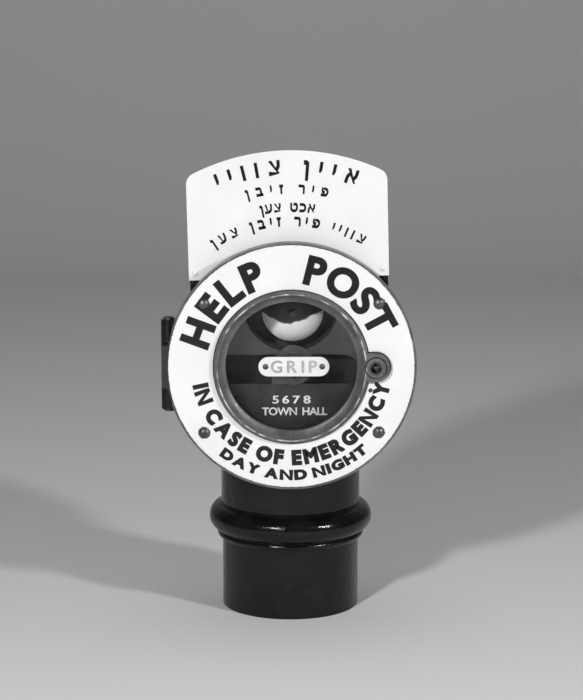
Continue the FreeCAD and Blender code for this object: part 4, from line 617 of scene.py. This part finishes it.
def set_line(text, height, length, bold, widen=1.0, space=0.7):
    """A straight line of this length: (middle, points, faces) of each character, centred on 0.

    Bold is the thickening across and up, widen stretches each character sideways, and space is a
    word space as a share of the height.
    """
    capital = glyph("H", *bold)[0][:, 1]
    unit, base = height / np.ptp(capital), capital.min()
    letters, widths = [], []
    for character in text:
        if character == " ":
            widths.append(None)
            continue
        points, faces = glyph(character, *bold)
        left, across = points[:, 0].min(), np.ptp(points[:, 0])
        upright = [(points[:, 0] - left - across / 2) * widen, points[:, 1] - base]
        letters.append((np.stack(upright, 1) * unit, faces))
        widths.append(across * widen * unit)
    solid = [w for w in widths if w is not None]
    spaces = len(widths) - len(solid)
    step = (length - sum(solid) - spaces * space * height) / (len(solid) - 1)
    placed, cursor = [], 0.0
    waiting = iter(letters)
    for w in widths:
        if w is None:
            cursor += space * height
            continue
        placed.append((cursor + w / 2, *next(waiting)))
        cursor += w + step
    middle = (cursor - step) / 2
    return [(x - middle, points, faces) for x, points, faces in placed]


def build_text(name, placed, place, plane_y):
    """One mesh of all characters. place(middle, points) gives x and z of each point."""
    rows, all_faces, start = [], [], 0
    for middle, points, faces in placed:
        x, z = place(middle, points)
        rows.append(np.stack([x, np.full_like(x, plane_y - PAINT_THICKNESS), z], 1))
        all_faces += [tuple(start + v for v in face) for face in faces]
        start += len(points)
    mesh = bpy.data.meshes.new(name)
    mesh.from_pydata(np.concatenate(rows).tolist(), [], all_faces)
    mesh.update()
    normals = np.zeros(len(mesh.polygons) * 3)
    mesh.polygons.foreach_get("normal", normals)
    if normals.reshape(-1, 3)[:, 1].mean() > 0:
        mesh.flip_normals()
    piece = bpy.data.objects.new(name, mesh)
    bpy.context.scene.collection.objects.link(piece)
    solid = piece.modifiers.new("thickness", "SOLIDIFY")
    solid.thickness = PAINT_THICKNESS * (1 + SINK)
    solid.offset = -1
    return piece


def on_arc(radius, middle_angle, inward=False, centre=(0.0, 0.0)):
    """Each character turned to follow a circle.

    Its foot lies on the radius and its head points outwards, or inwards for a line that is read
    along the bottom of the circle.
    """
    side = 1 if inward else -1

    def place(middle, points):
        angle = middle_angle + side * middle / radius
        outward = np.array([math.cos(angle), math.sin(angle)])
        along = side * np.array([-math.sin(angle), math.cos(angle)])
        spot = outward * (radius - side * points[:, 1:]) + along * points[:, :1]
        return centre[0] + spot[:, 0], centre[1] + spot[:, 1]

    return place


def on_line(centre):
    """Characters on a level line whose middle is a point."""
    return lambda middle, points: (centre[0] + middle + points[:, 0], centre[1] + points[:, 1])


print("height of a capital H", round(float(np.ptp(bare_glyph("H")[0][:, 1])), 3))

# %% [markdown]
# ## Lettering paint
# The black of the ring and the sign is fired on, so it is glossy, and it is worn to grey in specks.
# The words behind the glass are matter paint in grey and cream. `letter` does the whole job for one
# line: set it, put it on its path, paint it and let it ride on the body that it belongs to.

# %% Black and grey lettering paint
letter_black = Finish("letter_black", (0.012, 0.012, 0.012), 0.26)
letter_black.set(specular_ior_level=0.35)
letter_black.bump(letter_black.noise(150, 2), 0.0001, 0.35)
fade = letter_black.spread(letter_black.noise(300, 5, 0.7), 0.60, 0.74)
ink = letter_black.blend(fade, (0.010, 0.010, 0.010), (0.050, 0.050, 0.050))
letter_black.link(ink, "base_color")
letter_grey = moulded("letter_grey", (0.36, 0.36, 0.355), 0.35)
letter_cream = moulded("letter_cream", (0.60, 0.60, 0.57), 0.4)


def letter(name, text, path, finish, body, plane_y, **style):
    """Set a line of text, put it on its path, give it its paint and let it ride on a body."""
    piece = build_text(name, set_line(text, **style), path, plane_y)
    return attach(wear(finish, piece), body)


print("finishes in all", len(bpy.data.materials))

# %% [markdown]
# ## Lettering of the ring
# Two large words share the upper arc, and two lines below are read along the bottom of the circle.
# Where the last angle is larger than the first, the letters' heads point inwards.

# %% Lettering of the ring
CENTRE = (HEAD.x, HEAD.z)
rad = math.radians
# name, words, foot radius, cap height, first and last angle, boldness, widening
RING_LINES = [
    ("ring_word_left", "HELP", 91.5, 33.0, 168.5, 106.0, 0.05, 1.0),
    ("ring_word_right", "POST", 91.5, 33.0, 83.0, 19.5, 0.045, 1.0),
    ("ring_line_middle", "IN CASE OF EMERGENCY", 109.5, 17.5, 190.5, 350.0, 0.075, 0.98),
    ("ring_line_lower", "DAY AND NIGHT", 126.0, 11.8, 231.0, 312.0, 0.075, 1.3),
]
for name, words, foot, cap, first, last, weight, widen in RING_LINES:
    style = {
        "height": cap * MM,
        "length": foot * MM * rad(abs(last - first)),
        "bold": (weight, weight),
        "widen": widen,
        "space": 0.42,
    }
    path = on_arc(foot * MM, rad((first + last) / 2), last > first, CENTRE)
    letter(name, words, path, letter_black, "door", FACE_Y, **style)
print("ring lines", len(RING_LINES))

# %% [markdown]
# ## Lettering behind the glass
# The pull's label carries its word below its middle and moves with the pull. A number and a place are
# painted on the plate under it, which is fixed to the post.

# %% Lettering behind the glass
LABEL_SPOT = (label_middle[0], label_middle[2] - 6.8 * MM)
NUMBER_SPOT = (0.5 * MM, HEAD.z - 48.0 * MM)
PLACE_SPOT = (4.0 * MM, HEAD.z - 61.2 * MM)
# name, words, paint, body, plane, spot, cap height, length, widening
PLATE_LINES = [
    ("label_word", "GRIP", letter_grey, "pull", label_low[1], LABEL_SPOT, 13.6, 51.0, 1.0),
    ("call_point_number", "5678", letter_cream, "post", NUMBER_Y, NUMBER_SPOT, 8.8, 42.0, 1.3),
    ("call_point_place", "TOWN HALL", letter_cream, "post", NUMBER_Y, PLACE_SPOT, 8.8, 72.0, 1.0),
]
for name, words, finish, body, plane_y, spot, cap, length, widen in PLATE_LINES:
    style = {
        "height": cap * MM,
        "length": length * MM,
        "bold": (0.03, 0.02),
        "widen": widen,
    }
    letter(name, words, on_line(spot), finish, body, plane_y, **style)
print("lines behind the glass", len(PLATE_LINES))

# %% [markdown]
# ## Lettering of the sign
# Four lines in Hebrew script follow arcs about the head's centre. They are number words, as neutral
# as the figures on a dial. Hebrew runs from right to left, so each string is turned round before it
# is set from left to right.

# %% Sign lettering
SIGN_LEAN = rad(1.4)
# name, words, foot radius, letter height, length, thickening across and up
SIGN_LINES = [
    ("sign_line_title", "איין צוויי", 207.0, 19.0, 150.0, (0.03, 0.07)),
    ("sign_line_second", "פיר זיבן", 187.0, 11.5, 88.0, (0.03, 0.075)),
    ("sign_line_third", "אכט צען", 167.0, 11.5, 58.0, (0.03, 0.075)),
    ("sign_line_fourth", "צוויי פיר זיבן צען", 151.5, 12.0, 168.0, (0.03, 0.075)),
]
for name, words, radius, height, length, bold in SIGN_LINES:
    style = {"height": height * MM, "length": length * MM, "bold": bold}
    path = on_arc(radius * MM, rad(90) + SIGN_LEAN, False, CENTRE)
    letter(name, words[::-1], path, letter_black, "post", SIGN_Y, **style)
print("sign lines", len(SIGN_LINES))

# %% [markdown]
# ## Floor and light
# A pale studio sweep: the floor runs back and curves up into a wall, worked out as one profile carried
# sideways. Two small lamps stand in front, the left one stronger, so that gloss paint shows narrow
# bright streaks. A large weak one hangs overhead, and a faint world keeps the shadows open.

# %% Studio
SWEEP_FRONT, SWEEP_BACK, SWEEP_RADIUS, SWEEP_TOP, SWEEP_HALF = -7.0, 2.2, 1.4, 5.0, 7.0
bend = np.linspace(-np.pi / 2, 0, 24)
bend_y = SWEEP_BACK + SWEEP_RADIUS * np.cos(bend)
bend_z = SWEEP_RADIUS * (1 + np.sin(bend))
profile_y = np.concatenate([[SWEEP_FRONT], bend_y, [SWEEP_BACK + SWEEP_RADIUS]])
profile_z = np.concatenate([[0.0], bend_z, [SWEEP_TOP]])
x, y = np.meshgrid([-SWEEP_HALF, SWEEP_HALF], profile_y)
z = np.broadcast_to(profile_z[:, None], x.shape)
floor = add_object("floor", np.stack([x, y, z], -1).reshape(-1, 3), grid_faces(len(profile_y), 2))
backdrop = Finish("backdrop", (0.80, 0.80, 0.80), 0.85)
wear(backdrop, floor)
AIM = Vector((0.0, 0.0, HEAD.z))


def lamp(name, power, size, location):
    """A square area lamp of this many watts and metres, aimed at the head."""
    light = bpy.data.lights.new(name, "AREA")
    light.energy, light.size = power, size
    holder = bpy.data.objects.new(name, light)
    bpy.context.scene.collection.objects.link(holder)
    holder.location = location
    holder.rotation_mode = "QUATERNION"
    holder.rotation_quaternion = (AIM - Vector(location)).to_track_quat("-Z", "Y")


def around(distance, turn, rise):
    """A place at a distance from the head, turned from straight ahead and raised, in degrees."""
    turn, rise = math.radians(turn), math.radians(rise)
    level = math.cos(rise)
    return AIM + distance * Vector((math.sin(turn) * level, -math.cos(turn) * level, math.sin(rise)))


LAMP_DISTANCE, SMALL_LAMP, LARGE_LAMP = 2.7, 0.24, 1.6
lamp("key_left", 42, SMALL_LAMP, around(LAMP_DISTANCE, -25, 22))
lamp("key_right", 34, SMALL_LAMP, around(LAMP_DISTANCE, 48, 21))
lamp("overhead", 7, LARGE_LAMP, (0.0, 0.4, 2.6))
world = bpy.data.worlds.new("studio")
bpy.context.scene.world = world
world.use_nodes = True
sky = world.node_tree.nodes["Background"]
sky.inputs["Color"].default_value = (0.8, 0.8, 0.8, 1)
sky.inputs["Strength"].default_value = 0.06
print("lamps", [light.name for light in bpy.data.lights])

# %% [markdown]
# ## Tone
# The plain view transform keeps deep blacks and clean whites, as on a bright enamel sign.

# %% Tone
bpy.context.scene.view_settings.view_transform = "Standard"
print("view transform", bpy.context.scene.view_settings.view_transform)
